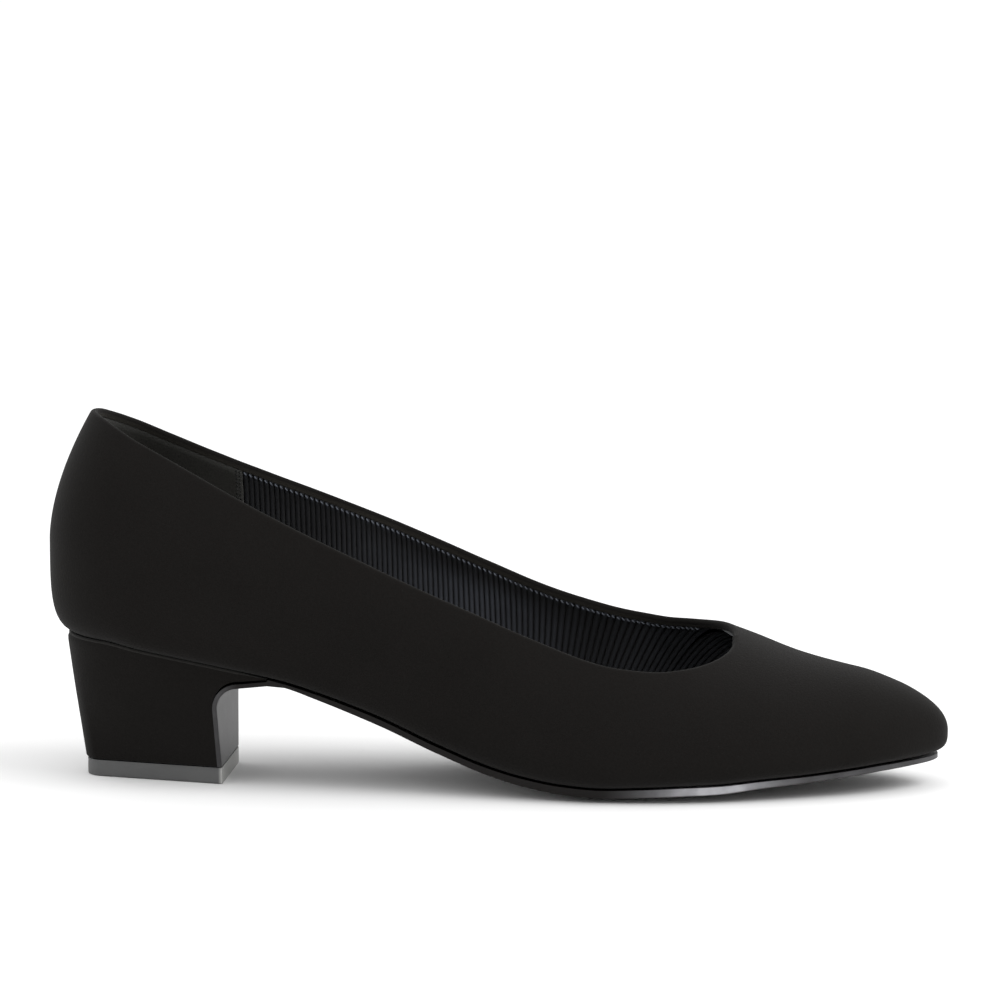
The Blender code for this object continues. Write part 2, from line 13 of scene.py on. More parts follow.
import bmesh
import bpy
import numpy as np
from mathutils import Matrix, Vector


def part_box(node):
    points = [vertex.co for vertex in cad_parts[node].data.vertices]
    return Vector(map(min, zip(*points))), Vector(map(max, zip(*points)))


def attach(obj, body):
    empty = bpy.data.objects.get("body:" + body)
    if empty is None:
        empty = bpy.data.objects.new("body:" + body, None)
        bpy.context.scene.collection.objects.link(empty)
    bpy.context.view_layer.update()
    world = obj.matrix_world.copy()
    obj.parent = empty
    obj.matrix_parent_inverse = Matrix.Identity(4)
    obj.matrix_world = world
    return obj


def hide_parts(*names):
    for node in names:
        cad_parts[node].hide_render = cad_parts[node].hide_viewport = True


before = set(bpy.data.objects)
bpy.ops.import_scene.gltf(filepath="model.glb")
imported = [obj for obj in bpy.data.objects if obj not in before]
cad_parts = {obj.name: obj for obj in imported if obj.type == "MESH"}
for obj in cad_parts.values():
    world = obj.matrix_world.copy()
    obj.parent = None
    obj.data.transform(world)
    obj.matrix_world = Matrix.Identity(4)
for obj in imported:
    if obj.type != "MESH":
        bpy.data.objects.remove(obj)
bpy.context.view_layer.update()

log = logging.getLogger("pump")

MERGE = 2e-6  # metres, points closer than this are one
TINY = 1e-12  # metres, taken for no length
NO_AREA = 1e-15  # square metres, taken for no area
SLIVER = 1e-9  # share of a step that keeps a reading inside its table
QUARTER = np.pi / 2
IMAGE = 1000  # pixels across
STITCH_STEPS = 9  # along a stitch and round it

Array = np.ndarray
Values = Array | float
Colour = tuple[float, float, float]
Tree = bpy.types.NodeTree
Node = bpy.types.Node
Socket = bpy.types.NodeSocket


class Side(Enum):
    """Sides of the foot, as signs of Y on the last."""

    OUTER = -1
    INNER = 1


class Section(NamedTuple):
    """One cross section of the last."""

    along: float  # from the back, of the last's length
    bulge: float  # widest line over the feather edge, of the instep height
    back: float  # ridge over the feather edge, the part of the back height
    vamp: float  # and the part of the instep height
    lean: float  # ridge towards the inner side, of the ball width
    spread: float  # local width, 0 for the seat width to 1 for the ball width
    outer: float  # half width on the outer side, of the local width
    inner: float  # half width on the inner side, of the local width


class Profile(NamedTuple):
    """The bottom of the last seen from the side."""

    along: float  # from the back, of the last's length
    rise: float  # feather edge over its height at the ball, 1 at the back of the heel
    spring: float  # feather edge over its height at the ball, of the toe spring
    crown: float  # middle below the feather edge, of the crown
    sole: float  # thickness of the sole, of its thickness at the ball


class Topline(NamedTuple):
    """Edge of the opening seen from the side, over the heel's part of it."""

    along: float  # from the back, of the last's length
    outer: float  # on the outer side, of the back height
    inner: float  # on the inner side, of the back height


def table_of(kind: type[NamedTuple], rows: tuple) -> dict[str, Array]:
    """Named columns of a table given by rows.

    Args:
        kind: names the columns.
        rows: their values, from the back forward.

    Returns:
        Each column by its name.
    """
    return dict(zip(kind._fields, np.array(rows).T))


SECTIONS = table_of(Section, (
    (0.000, 0.69, 1.115, 0.00, 0.000, 0.00, 0.492, 0.492),
    (0.142, 0.42, 1.13, 0.00, 0.000, 0.00, 0.500, 0.492),
    (0.244, 0.46, 1.08, 0.22, 0.000, 0.00, 0.500, 0.492),
    (0.346, 0.48, 0.87, 0.60, 0.010, 0.05, 0.508, 0.484),
    (0.447, 0.51, 0.46, 1.00, 0.040, 0.20, 0.529, 0.475),
    (0.549, 0.42, 0.20, 1.22, 0.070, 0.75, 0.516, 0.464),
    (0.630, 0.35, 0.05, 1.35, 0.080, 1.00, 0.518, 0.457),
    (0.691, 0.30, 0.00, 1.20, 0.080, 1.00, 0.512, 0.476),
    (0.768, 0.255, 0.00, 0.968, 0.080, 1.00, 0.470, 0.457),
    (0.833, 0.213, 0.00, 0.780, 0.060, 1.00, 0.402, 0.396),
    (0.894, 0.178, 0.00, 0.652, 0.035, 1.00, 0.323, 0.305),
    (0.943, 0.162, 0.00, 0.560, 0.018, 1.00, 0.262, 0.241),
    (1.000, 0.160, 0.00, 0.508, 0.000, 1.00, 0.207, 0.207),
))

PROFILES = table_of(Profile, (
    (0.000, 1.000, 0.00, 0.0, 0.45),
    (0.069, 0.990, 0.00, 0.3, 0.45),
    (0.114, 0.933, 0.00, 0.5, 0.45),
    (0.203, 0.811, 0.00, 0.45, 0.45),
    (0.272, 0.712, 0.00, 0.2, 0.45),
    (0.313, 0.626, 0.00, 0.0, 0.64),
    (0.378, 0.465, 0.00, 0.0, 0.82),
    (0.447, 0.260, 0.00, 0.2, 0.82),
    (0.492, 0.144, 0.00, 0.5, 0.86),
    (0.537, 0.064, 0.00, 0.8, 0.91),
    (0.581, 0.017, 0.00, 1.0, 0.96),
    (0.626, 0.000, 0.00, 1.0, 1.00),
    (0.667, 0.000, 0.05, 1.0, 1.00),
    (0.711, 0.000, 0.14, 1.1, 1.00),
    (0.752, 0.000, 0.20, 1.1, 0.98),
    (0.797, 0.000, 0.38, 1.0, 0.86),
    (0.841, 0.000, 0.50, 0.8, 0.77),
    (0.882, 0.000, 0.65, 0.5, 0.72),
    (0.927, 0.000, 0.85, 0.3, 0.68),
    (0.972, 0.000, 0.97, 0.1, 0.62),
    (1.000, 0.000, 1.00, 0.0, 0.55),
))

TOPLINES = table_of(Topline, (
    (0.000, 1.014, 1.014),
    (0.045, 1.014, 1.014),
    (0.061, 1.004, 0.992),
    (0.081, 0.978, 0.964),
    (0.106, 0.942, 0.937),
    (0.134, 0.906, 0.912),
    (0.171, 0.865, 0.885),
    (0.211, 0.829, 0.867),
    (0.256, 0.799, 0.860),
    (0.309, 0.777, 0.862),
    (0.366, 0.761, 0.864),
    (0.423, 0.744, 0.857),
    (0.480, 0.721, 0.832),
    (0.537, 0.684, 0.787),
    (0.610, 0.620, 0.727),
    (0.650, 0.585, 0.690),
    (0.699, 0.534, 0.632),
    (0.768, 0.478, 0.559),
))


def smooth(table: dict[str, Array], name: str, at: Values) -> Array:
    """Curve through one column of a table that never overshoots its rows.

    Each span is a cubic whose end slopes are weighted harmonic means of the straight slopes beside them,
    and 0 where those have different signs.

    Args:
        table: columns, one of them `along`.
        name: the column.
        at: places along the last, 0 to 1.

    Returns:
        The column's value at each place.
    """
    xs, ys = table["along"], table[name]
    step = np.diff(xs)
    rate = np.diff(ys) / step
    slope = np.zeros(len(xs))
    same = rate[:-1] * rate[1:] > 0
    weight = (step[:-1] + 2 * step[1:]) / (3 * (step[:-1] + step[1:]))
    safe = np.where(same, (1 - weight) * rate[:-1] + weight * rate[1:], 1.0)
    slope[1:-1] = np.where(same, rate[:-1] * rate[1:] / safe, 0.0)
    at = np.clip(np.asarray(at, float), 0.0, 1.0)
    k = np.clip(np.searchsorted(xs, at, side="right") - 1, 0, len(step) - 1)
    t = (at - xs[k]) / step[k]
    rise = ys[k] + (ys[k + 1] - ys[k]) * t * t * (3 - 2 * t)
    return rise + step[k] * t * (1 - t) * (slope[k] * (1 - t) - slope[k + 1] * t)


def read_rows(wanted: Array, places: Array, values: Array) -> Array:
    """Straight interpolation in each row of a table.

    Args:
        wanted: places to read in each row, rows by columns.
        places: rising places in each row, rows by samples.
        values: what lies there, rows by samples by parts.

    Returns:
        The values read, rows by columns by parts.
    """
    wanted = np.clip(wanted, places[:, :1], places[:, -1:])
    row = np.arange(len(places))[:, None]
    lift = row * (2 * np.ptp(places) + 1.0)
    index = np.searchsorted((places + lift).ravel(), (wanted + lift).ravel(), side="right")
    samples = places.shape[1]
    k = np.clip(index.reshape(wanted.shape) - samples * row - 1, 0, samples - 2)
    low, high = places[row, k], places[row, k + 1]
    t = ((wanted - low) / np.maximum(high - low, TINY))[..., None]
    return values[row, k] * (1 - t) + values[row, k + 1] * t


def unit(vectors: Array, least: float = TINY) -> Array:
    """Vectors over their lengths, where those are at least `least`."""
    return vectors / np.maximum(np.linalg.norm(vectors, axis=-1, keepdims=True), least)


def bell(away: Array, reach: float) -> Array:
    """Bell curve: e to the minus square of the distance over the reach."""
    return np.exp(-((away / reach) ** 2))


def normals_of(grid: Array) -> Array:
    """Unit normal at each point of a grid: the cross product of its differences up and along.

    Args:
        grid: points, rows by columns by 3.

    Returns:
        Normals of the same shape, which point out where the rows run round the shoe as the skin's do.
    """
    return unit(np.cross(np.gradient(grid, axis=1), np.gradient(grid, axis=0)), NO_AREA)


class Arch(NamedTuple):
    """One side of the last's sections, from the lasting edge to the widest line of the other side."""

    points: Array  # stations by samples by 3
    arc: Array  # arc length of each, from the widest line and negative below it
    edge: Array  # arc length at which the wall passes the opening's edge
    middle: Array  # arc length of the middle line


@dataclass(frozen=True)
class Last:
    """The last that the solids are made on, with its sizes."""

    length: float = 0.246
    ball_width: float = 0.082
    seat_width: float = 0.061
    heel_height: float = 0.040
    back_height: float = 0.0597
    instep_height: float = 0.0371
    toe_spring: float = 0.0052
    vamp_length: float = 0.0568
    throat_length: float = 0.0386
    throat_offset: float = 0.005
    heel_round: float = 0.030
    toe_round: float = 0.024
    back_lean: float = 0.0112
    lean_power: float = 1.7
    lasting: float = 0.012
    feather_power: float = 4.0
    top_power: float = 2.0
    throat_power: float = 2.4
    heel_ease: float = 0.65
    seat_inset: float = 0.0045
    toe_inset: float = 0.0027
    inset_power: float = 4.0
    sole: float = 0.0022
    gap: float = 0.0003
    crown: float = 0.0018
    tread_flat: float = 0.0005
    feather_samples: int = 120
    wall_samples: int = 260

    @property
    def origin(self) -> Array:
        """Where the last's own origin lies: at the upper's back, in the heel's middle, on the floor."""
        low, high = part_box("top_lift")
        return np.array([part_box("upper")[0][0], (low[1] + high[1]) / 2, 0.0])

    @property
    def throat(self) -> float:
        """Front of the opening, as a share of the length."""
        return (self.length - self.vamp_length) / self.length

    def half_width(self, at: Array, side: Side) -> Array:
        """Half width at the widest line, before the ends close."""
        spread = smooth(SECTIONS, "spread", at)
        local = self.seat_width + (self.ball_width - self.seat_width) * spread
        return local * smooth(SECTIONS, side.name.lower(), at)

    def edge_height(self, at: Array) -> Array:
        """Feather edge over the floor."""
        ball = self.sole + self.gap + self.crown - self.tread_flat
        rise = (self.heel_height - ball) * smooth(PROFILES, "rise", at)
        return ball + rise + self.toe_spring * smooth(PROFILES, "spring", at)

    def bottom(self, x: Array, y: Array) -> Array:
        """Underside: the feather edge's height less the crown, which falls off with the square of y."""
        at = x / self.length
        half = np.where(y < 0, *(self.half_width(at, side) for side in Side))
        middle = np.clip(1 - (y / (half - self.seat_inset)) ** 2, 0, 1)
        return self.edge_height(at) - self.crown * smooth(PROFILES, "crown", at) * middle

    def ends(self, at: Array) -> tuple[Array, Array]:
        """Cosines of how far the round heel and the round toe have closed."""
        from_back = np.clip(1 - at * self.length / self.heel_round, 0, 1)
        from_toe = np.clip(1 - (1 - at) * self.length / self.toe_round, 0, 1)
        return from_back, from_toe

    def outline(self, at: Array, side: Side, inset: Values) -> tuple[Array, Array]:
        """Plan outline moved in by inset: half the width, closed by an ellipse at each end."""
        from_back, from_toe = self.ends(at)
        closed = np.sqrt((1 - from_back**2) * (1 - from_toe**2))
        x = at * self.length + inset * (from_back - from_toe)
        return x, side.value * (self.half_width(at, side) - inset) * closed

    def feather_inset(self, at: Array) -> Array:
        """How far the sole's edge lies inside the widest line."""
        eased = np.clip(at, 0, 1) ** self.inset_power
        return self.seat_inset + (self.toe_inset - self.seat_inset) * eased

    def widest(self, at: Array) -> Array:
        """Widest line over the floor."""
        return self.edge_height(at) + self.instep_height * smooth(SECTIONS, "bulge", at)

    def lower_wall(self, at: Array, side: Side, turn: Array) -> Array:
        """Superellipse from the widest line (turn 0) round the feather edge to the lasting edge."""
        power = 2 / self.feather_power
        x, y = self.outline(at, side, self.lasting * (1 - np.cos(turn) ** power))
        widest = self.widest(at)
        z = widest - (widest - self.bottom(x, y)) * np.sin(turn) ** power
        return np.stack(np.broadcast_arrays(x, y, z), -1)

    def upper_wall(self, at: Array, side: Side, turn: Array) -> Array:
        """Ellipse from the widest line (turn 0) to the ridge (turn 90), leaning forward at the back."""
        power = 2 / self.top_power
        from_back, from_toe = self.ends(at)
        edge, widest = self.edge_height(at), self.widest(at)
        ridge = edge + self.back_height * smooth(SECTIONS, "back", at)
        ridge = ridge + self.instep_height * smooth(SECTIONS, "vamp", at)
        ridge_y = self.ball_width * smooth(SECTIONS, "lean", at)
        closed = np.sqrt((1 - from_back**2) * (1 - from_toe**2))
        y = ridge_y + (side.value * self.half_width(at, side) - ridge_y) * np.cos(turn) ** power
        z = widest + (ridge - widest) * np.sqrt(1 - from_toe**2) * np.sin(turn) ** power
        top = self.edge_height(0.0) + self.back_height
        lean = self.back_lean * np.clip((z - widest) / (top - widest), 0, None) ** self.lean_power
        return np.stack([at * self.length + lean * from_back, y * closed, z], -1)

    def topline(self, x: Array, side: Side) -> Array:
        """Edge of the opening over the floor.

        The heel height times the squared cosine of the way to the ball, plus the table's share.
        """
        at = x / self.length
        ease = np.cos(QUARTER * np.clip(at / self.heel_ease, 0, 1)) ** 2
        over = smooth(TOPLINES, side.name.lower(), at)
        return self.heel_height * ease + self.back_height * over

    def closing(self, at: Array) -> Array:
        """What is left of the opening's half width: 1, then a superellipse to 0 at the throat."""
        start = (self.length - self.vamp_length - self.throat_length) / self.length
        t = np.clip((at - start) * self.length / self.throat_length, 0, 1)
        return (1 - t**self.throat_power) ** (1 / self.throat_power)

    def half_arches(self, at: Array) -> dict[Side, Arch]:
        """Both halves of the arch at each station, from the lasting edge to the middle line.

        Args:
            at: stations along the last.

        Returns:
            The half arch of each side.
        """
        theta = np.linspace(QUARTER, 0, self.feather_samples)
        half = self.feather_power / 2
        feather = np.arctan2(np.sin(theta) ** half, np.cos(theta) ** half)
        rise = np.linspace(0, QUARTER, self.wall_samples)
        start = self.feather_samples - 1
        wall = slice(start, start + self.wall_samples)
        towards = np.clip((1 - at) / (1 - self.throat), 0, 1)
        middle_y = -self.throat_offset * towards
        ridge_y = self.ball_width * smooth(SECTIONS, "lean", at)
        share = (ridge_y - middle_y) / (ridge_y + self.half_width(at, Side.OUTER))
        turn = np.arccos(share ** (self.top_power / 2))
        at = at[:, None]
        lower = {side: self.lower_wall(at, side, feather) for side in Side}
        upper = {side: self.upper_wall(at, side, rise) for side in Side}
        none = np.zeros((len(at), 1))
        found = {}
        for side, other in ((Side.OUTER, Side.INNER), (Side.INNER, Side.OUTER)):
            parts = [lower[side][:, :-1], upper[side], upper[other][:, -2::-1]]
            points = np.concatenate(parts, axis=1)
            run = np.linalg.norm(np.diff(points, axis=1), axis=2)
            arc = np.concatenate([none, np.cumsum(run, axis=1)], axis=1)
            arc = arc - arc[:, start][:, None]
            over = points[:, wall, 2] - self.topline(points[:, wall, 0], side)
            edge = read_rows(none, over, arc[:, wall, None])[:, 0, 0]
            found[side] = (points, arc, edge)
        arc = found[Side.OUTER][1]
        spread = np.tile(rise, (len(at), 1))
        middle = read_rows(turn[:, None], spread, arc[:, wall, None])[:, 0, 0]
        return {
            Side.OUTER: Arch(*found[Side.OUTER], middle),
            Side.INNER: Arch(*found[Side.INNER], arc[:, -1] - middle),
        }


@dataclass(frozen=True)
class Wall:
    """Sizes of the upper's wall, as depths under its outer face."""

    leather: float = 0.0011
    lining_back: float = 0.0012
    lining_face: float = 0.0017
    facing: float = 0.0022
    facing_height: float = 0.0011
    tuck: float = 0.0003  # how far the linings go up behind the facing
    whole: float = 0.0018

    @property
    def lining_drop(self) -> float:
        """Top of the linings under the topline."""
        return self.facing_height - self.tuck


class Spot(NamedTuple):
    """Places on the outer face with unit directions, each with a last axis of 3."""

    point: Array
    along: Array  # towards the inner side's nose
    rise: Array  # up the wall
    out: Array  # out of the shoe

    def under(self, depth: Values) -> Array:
        """Points that deep under the outer face."""
        return self.point - self.out * depth


@dataclass
class Skin:
    """Outer face of the upper as a table over the way round the shoe and the way up its wall.

    Rows run from the outer side's nose back round the heel to the inner side's nose. Columns are
    distances from the widest line along the wall, negative below it.
    """

    last: Last
    rows: int = 760
    columns: int = 440
    lowest: float = -0.034
    highest: float = 0.074
    step: float = 0.0008
    points: Array = field(init=False)
    middle: Array = field(init=False)  # middle line of each row
    edge: Array = field(init=False)  # edge of the opening of each row
    over: Array = field(init=False)  # how far each point is above the bottom, made to rise

    def __post_init__(self) -> None:
        """Works out the table."""
        ring = np.linspace(0, self.whole_way, self.rows)
        arches = self.last.half_arches(self.at(ring))
        levels = np.tile(np.linspace(self.lowest, self.highest, self.columns), (self.rows, 1))
        outer, inner = arches[Side.OUTER], arches[Side.INNER]
        sides = []
        for arch in (outer, inner):
            wanted = np.minimum(levels, arch.middle[:, None])
            sides.append(read_rows(wanted, arch.arc, arch.points))
        self.points = np.concatenate([sides[0][::-1], sides[1][1:]])
        self.middle = np.concatenate([outer.middle[::-1], inner.middle[1:]])
        self.edge = np.concatenate([outer.edge[::-1], inner.edge[1:]])
        over = self.points[..., 2] - self.last.bottom(self.points[..., 0], self.points[..., 1])
        self.over = np.maximum.accumulate(over + SLIVER * np.arange(self.columns), axis=1)

    @property
    def whole_way(self) -> float:
        """Way from the back to the nose, where the round ends are walked as quarter circles."""
        straight = self.last.length - self.last.heel_round - self.last.toe_round
        return straight + QUARTER * (self.last.heel_round + self.last.toe_round)

    def at(self, way: Array) -> Array:
        """Station on the last at a way from the back."""
        heel, toe, length = self.last.heel_round, self.last.toe_round, self.last.length
        way = np.abs(way)
        heel_end = heel * QUARTER
        toe_start = self.whole_way - toe * QUARTER
        x = np.clip(way, heel_end, toe_start) - heel_end + heel
        x = np.where(way < heel_end, heel * (1 - np.cos(way / heel)), x)
        past = np.clip((way - toe_start) / toe, 0, QUARTER)
        return np.where(way > toe_start, length - toe * (1 - np.sin(past)), x) / length

    def way(self, at: Array) -> Array:
        """Way from the back at a station on the last."""
        heel, toe, length = self.last.heel_round, self.last.toe_round, self.last.length
        x = at * length
        near_heel = heel * np.arccos(np.clip(1 - x / heel, -1, 1))
        from_nose = QUARTER - np.arcsin(np.clip(1 - (length - x) / toe, 0, 1))
        near_toe = self.whole_way - toe * from_nose
        middle = x - heel + heel * QUARTER
        return np.where(x < heel, near_heel, np.where(x > length - toe, near_toe, middle))

    def row_of(self, way: Array) -> Array:
        """Row number, with its fraction, at a signed way: outer side below 0, inner side above."""
        return (way / self.whole_way + 1) * (self.rows - 1)

    def read(self, way: Array, up: Array) -> Array:
        """Points of the outer face: the table read between its four nearest points.

        Args:
            way: signed ways from the back.
            up: distances over the widest line.

        Returns:
            Points of the same shape, with a last axis of 3.
        """
        way, up = np.broadcast_arrays(way, up)
        row = np.clip(self.row_of(way), 0, 2 * self.rows - 2 - SLIVER)
        column = (up - self.lowest) / (self.highest - self.lowest) * (self.columns - 1)
        column = np.clip(column, 0, self.columns - 1 - SLIVER)
        i, j = row.astype(int), column.astype(int)
        s, t = (row - i)[..., None], (column - j)[..., None]
        low = self.points[i, j] * (1 - t) + self.points[i, j + 1] * t
        high = self.points[i + 1, j] * (1 - t) + self.points[i + 1, j + 1] * t
        return low * (1 - s) + high * s

    def around(self, way: Array, up: Array) -> Spot:
        """Places on the face with their directions, from differences over a short step.

        Args:
            way: signed ways from the back.
            up: distances over the widest line.

        Returns:
            The places.
        """
        point = self.read(way, up)
        along = unit(self.read(way + self.step, up) - self.read(way - self.step, up))
        rise = unit(point - self.read(way, up - self.step))
        return Spot(point, along, rise, unit(np.cross(rise, along)))

    def along_rows(self, values: Array, way: Array) -> Array:
        """One value a row, read at signed ways."""
        return np.interp(self.row_of(way), np.arange(len(values)), values)

    def topline(self, way: Array) -> Array:
        """Topline over the widest line, or the middle line from the throat forward."""
        middle = self.along_rows(self.middle, way)
        return middle - (middle - self.along_rows(self.edge, way)) * self.last.closing(self.at(way))

    def level(self, over: float) -> Array:
        """Each row's distance over the widest line at which the wall is `over` above the bottom."""
        column = (self.over < over).sum(axis=1)
        return self.lowest + (self.highest - self.lowest) * column / (self.columns - 1)


def grid_faces(number: Array) -> Array:
    """Four-sided faces between neighbouring rows and columns of point numbers."""
    corners = [number[:-1, :-1], number[1:, :-1], number[1:, 1:], number[:-1, 1:]]
    return np.stack(corners, -1).reshape(-1, 4)


@dataclass
class Body:
    """Points and faces gathered for one mesh."""

    points: list[Array] = field(default_factory=list)
    faces: list[Array] = field(default_factory=list)
    tints: list[Array] = field(default_factory=list)
    count: int = 0

    def add(self, points: Array, tint: Values = 0.0) -> Array:
        """Adds a grid of points with their tint and returns their numbers in the same shape."""
        number = self.count + np.arange(points[..., 0].size).reshape(points.shape[:-1])
        self.points.append(points.reshape(-1, 3))
        self.tints.append(np.broadcast_to(tint, number.shape).ravel())
        self.count += number.size
        return number

    def join(self, number: Array) -> None:
        """Adds the faces of a grid of point numbers."""
        self.faces.append(grid_faces(number))

    def grid(self, points: Array, tint: Values = 0.0) -> Array:
        """Adds a grid with its tint and faces and returns its numbers."""
        number = self.add(points, tint)
        self.join(number)
        return number

    def shell(self, front: Array, back: Array, tint: Values = 0.0) -> None:
        """Closed shell between two grids of the same size: both grids and the band round their rims."""
        face, rear = self.grid(front, tint), self.grid(back)
        self.join(np.stack([rim(face), rim(rear)]))

    def stitches(self, centre: Array, along: Array, out: Array, length: float, radius: float) -> None:
        """Stitches: short threads that dip at both ends.

        Each is a tube whose radius is the thread's times the fourth-power circle over its length, and
        whose middle stands out by a parabola.

        Args:
            centre: middles of the stitches, n by 3.
            along: their unit directions.
            out: the unit way out of the cloth at each.
            length: of a stitch.
            radius: of the thread.
        """
        t = np.linspace(-1, 1, STITCH_STEPS)[None, :, None, None]
        turn = np.linspace(0, 2 * np.pi, STITCH_STEPS)[None, None, :, None]
        centre, along, out = (vector[:, None, None] for vector in (centre, along, out))
        thick = radius * np.sqrt(np.clip(1 - t**4, 0, 1))
        middle = centre + along * t * length / 2 + out * radius * (1 - t * t)
        tubes = middle + thick * (out * np.cos(turn) + np.cross(along, out) * np.sin(turn))
        for tube in tubes:
            self.grid(tube)

    def piece(
        self, name: str, material: bpy.types.Material, origin: Array, sharp: float = 40.0
    ) -> bpy.types.Object:
        """Makes the object: points merged, poles closed and faces outward.

        Args:
            name: the piece's name.
            material: its finish.
            origin: where the last's origin lies.
            sharp: angle in degrees past which an edge is shaded sharp.

        Returns:
            The new object, which rides on the one body.
        """
        mesh = bpy.data.meshes.new(name)
        mesh.from_pydata(np.concatenate(self.points) + origin, [], np.concatenate(self.faces))
        tint = mesh.attributes.new("tint", "FLOAT", "POINT")
        tint.data.foreach_set("value", np.concatenate(self.tints).astype(np.float32))
        work = bmesh.new()
        work.from_mesh(mesh)
        bmesh.ops.remove_doubles(work, verts=work.verts, dist=MERGE)
        bmesh.ops.dissolve_degenerate(work, edges=work.edges, dist=MERGE)
        bmesh.ops.recalc_face_normals(work, faces=work.faces)
        work.to_mesh(mesh)
        work.free()
        mesh.shade_smooth()
        mesh.set_sharp_from_angle(angle=math.radians(sharp))
        mesh.materials.append(material)
        piece = bpy.data.objects.new(name, mesh)
        bpy.context.collection.objects.link(piece)
        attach(piece, "root")
        log.info("%s: %d faces", name, len(mesh.polygons))
        return piece


def rim(grid: Array) -> Array:
    """Numbers or points on the rim of a grid, in order, ending where they start."""
    return np.concatenate([grid[0], grid[1:, -1], grid[-1, -2::-1], grid[-2::-1, 0]])


def rounded_slab(
    body: Body, top: Array, under: Array, radius: float, steps: int,
    tint: Values = 0.0, edge_tint: Values = 0.0,
) -> None:
    """Closed solid between two grids whose lower edge is a quarter round.

    The round's centre lies one radius up and one radius in from the lower corner, and its points are
    that centre plus the way out by the cosine and the way down by the sine.

    Args:
        body: takes the points and faces.
        top: upper grid.
        under: lower grid before its edge is rounded.
        radius: of the quarter round.
        steps: of the quarter round.
        tint: of each grid point.
        edge_tint: painted highlight on the side's upper part, fading down the round, at each grid point.
    """
    tint = np.broadcast_to(tint, top.shape[:2])
    edge_tint = np.broadcast_to(edge_tint, top.shape[:2])
    corner = rim(under)
    rise = rim(top) - corner
    depth = np.linalg.norm(rise, axis=1, keepdims=True)
    side = corner + rise * np.minimum(radius / depth, 1)
    middle = under.mean(axis=1, keepdims=True)
    width = np.linalg.norm(under[:, -1:] - under[:, :1], axis=2, keepdims=True)
    ease = np.clip(1 - 2 * radius / np.maximum(width, radius), 0, 1)
    floor = middle + (under - middle) * ease
    inner = rim(floor)
    turn = np.linspace(0, QUARTER, steps + 1)[:, None, None]
    centre = side + inner - corner
    rounds = centre + (corner - inner) * np.cos(turn) + (corner - side) * np.sin(turn)
    first, last = body.grid(top, np.maximum(tint, edge_tint)), body.grid(floor, tint)
    # the painted edge highlight fades down the round
    fade = 1 - np.arange(steps)[:, None] / steps
    rings = body.add(rounds[:-1], np.maximum(rim(tint)[None], fade * rim(edge_tint)[None]))
    body.join(np.concatenate([rim(first)[None], rings, rim(last)[None]]))


def across(left: Array, right: Array, columns: int) -> Array:
    """Straight grid between two edges."""
    t = np.linspace(0, 1, columns)[None, :, None]
    return left[:, None] * (1 - t) + right[:, None] * t


def calculate(tree: Tree, operation: str, *parts: Socket | float) -> Socket:
    """Adds a Math node.

    Args:
        tree: takes the node.
        operation: what it does.
        parts: linked sockets or plain numbers.

    Returns:
        The node's output.
    """
    node = tree.nodes.new("ShaderNodeMath")
    node.operation = operation
    for entry, part in zip(node.inputs, parts):
        if isinstance(part, Socket):
            tree.links.new(part, entry)
        else:
            entry.default_value = part
    return node.outputs[0]


@dataclass(frozen=True, kw_only=True)
class Finish:
    """What the finishes share."""

    name: str
    low: Colour
    high: Colour
    tint: Colour | None = None  # where the mesh's own tint is 1


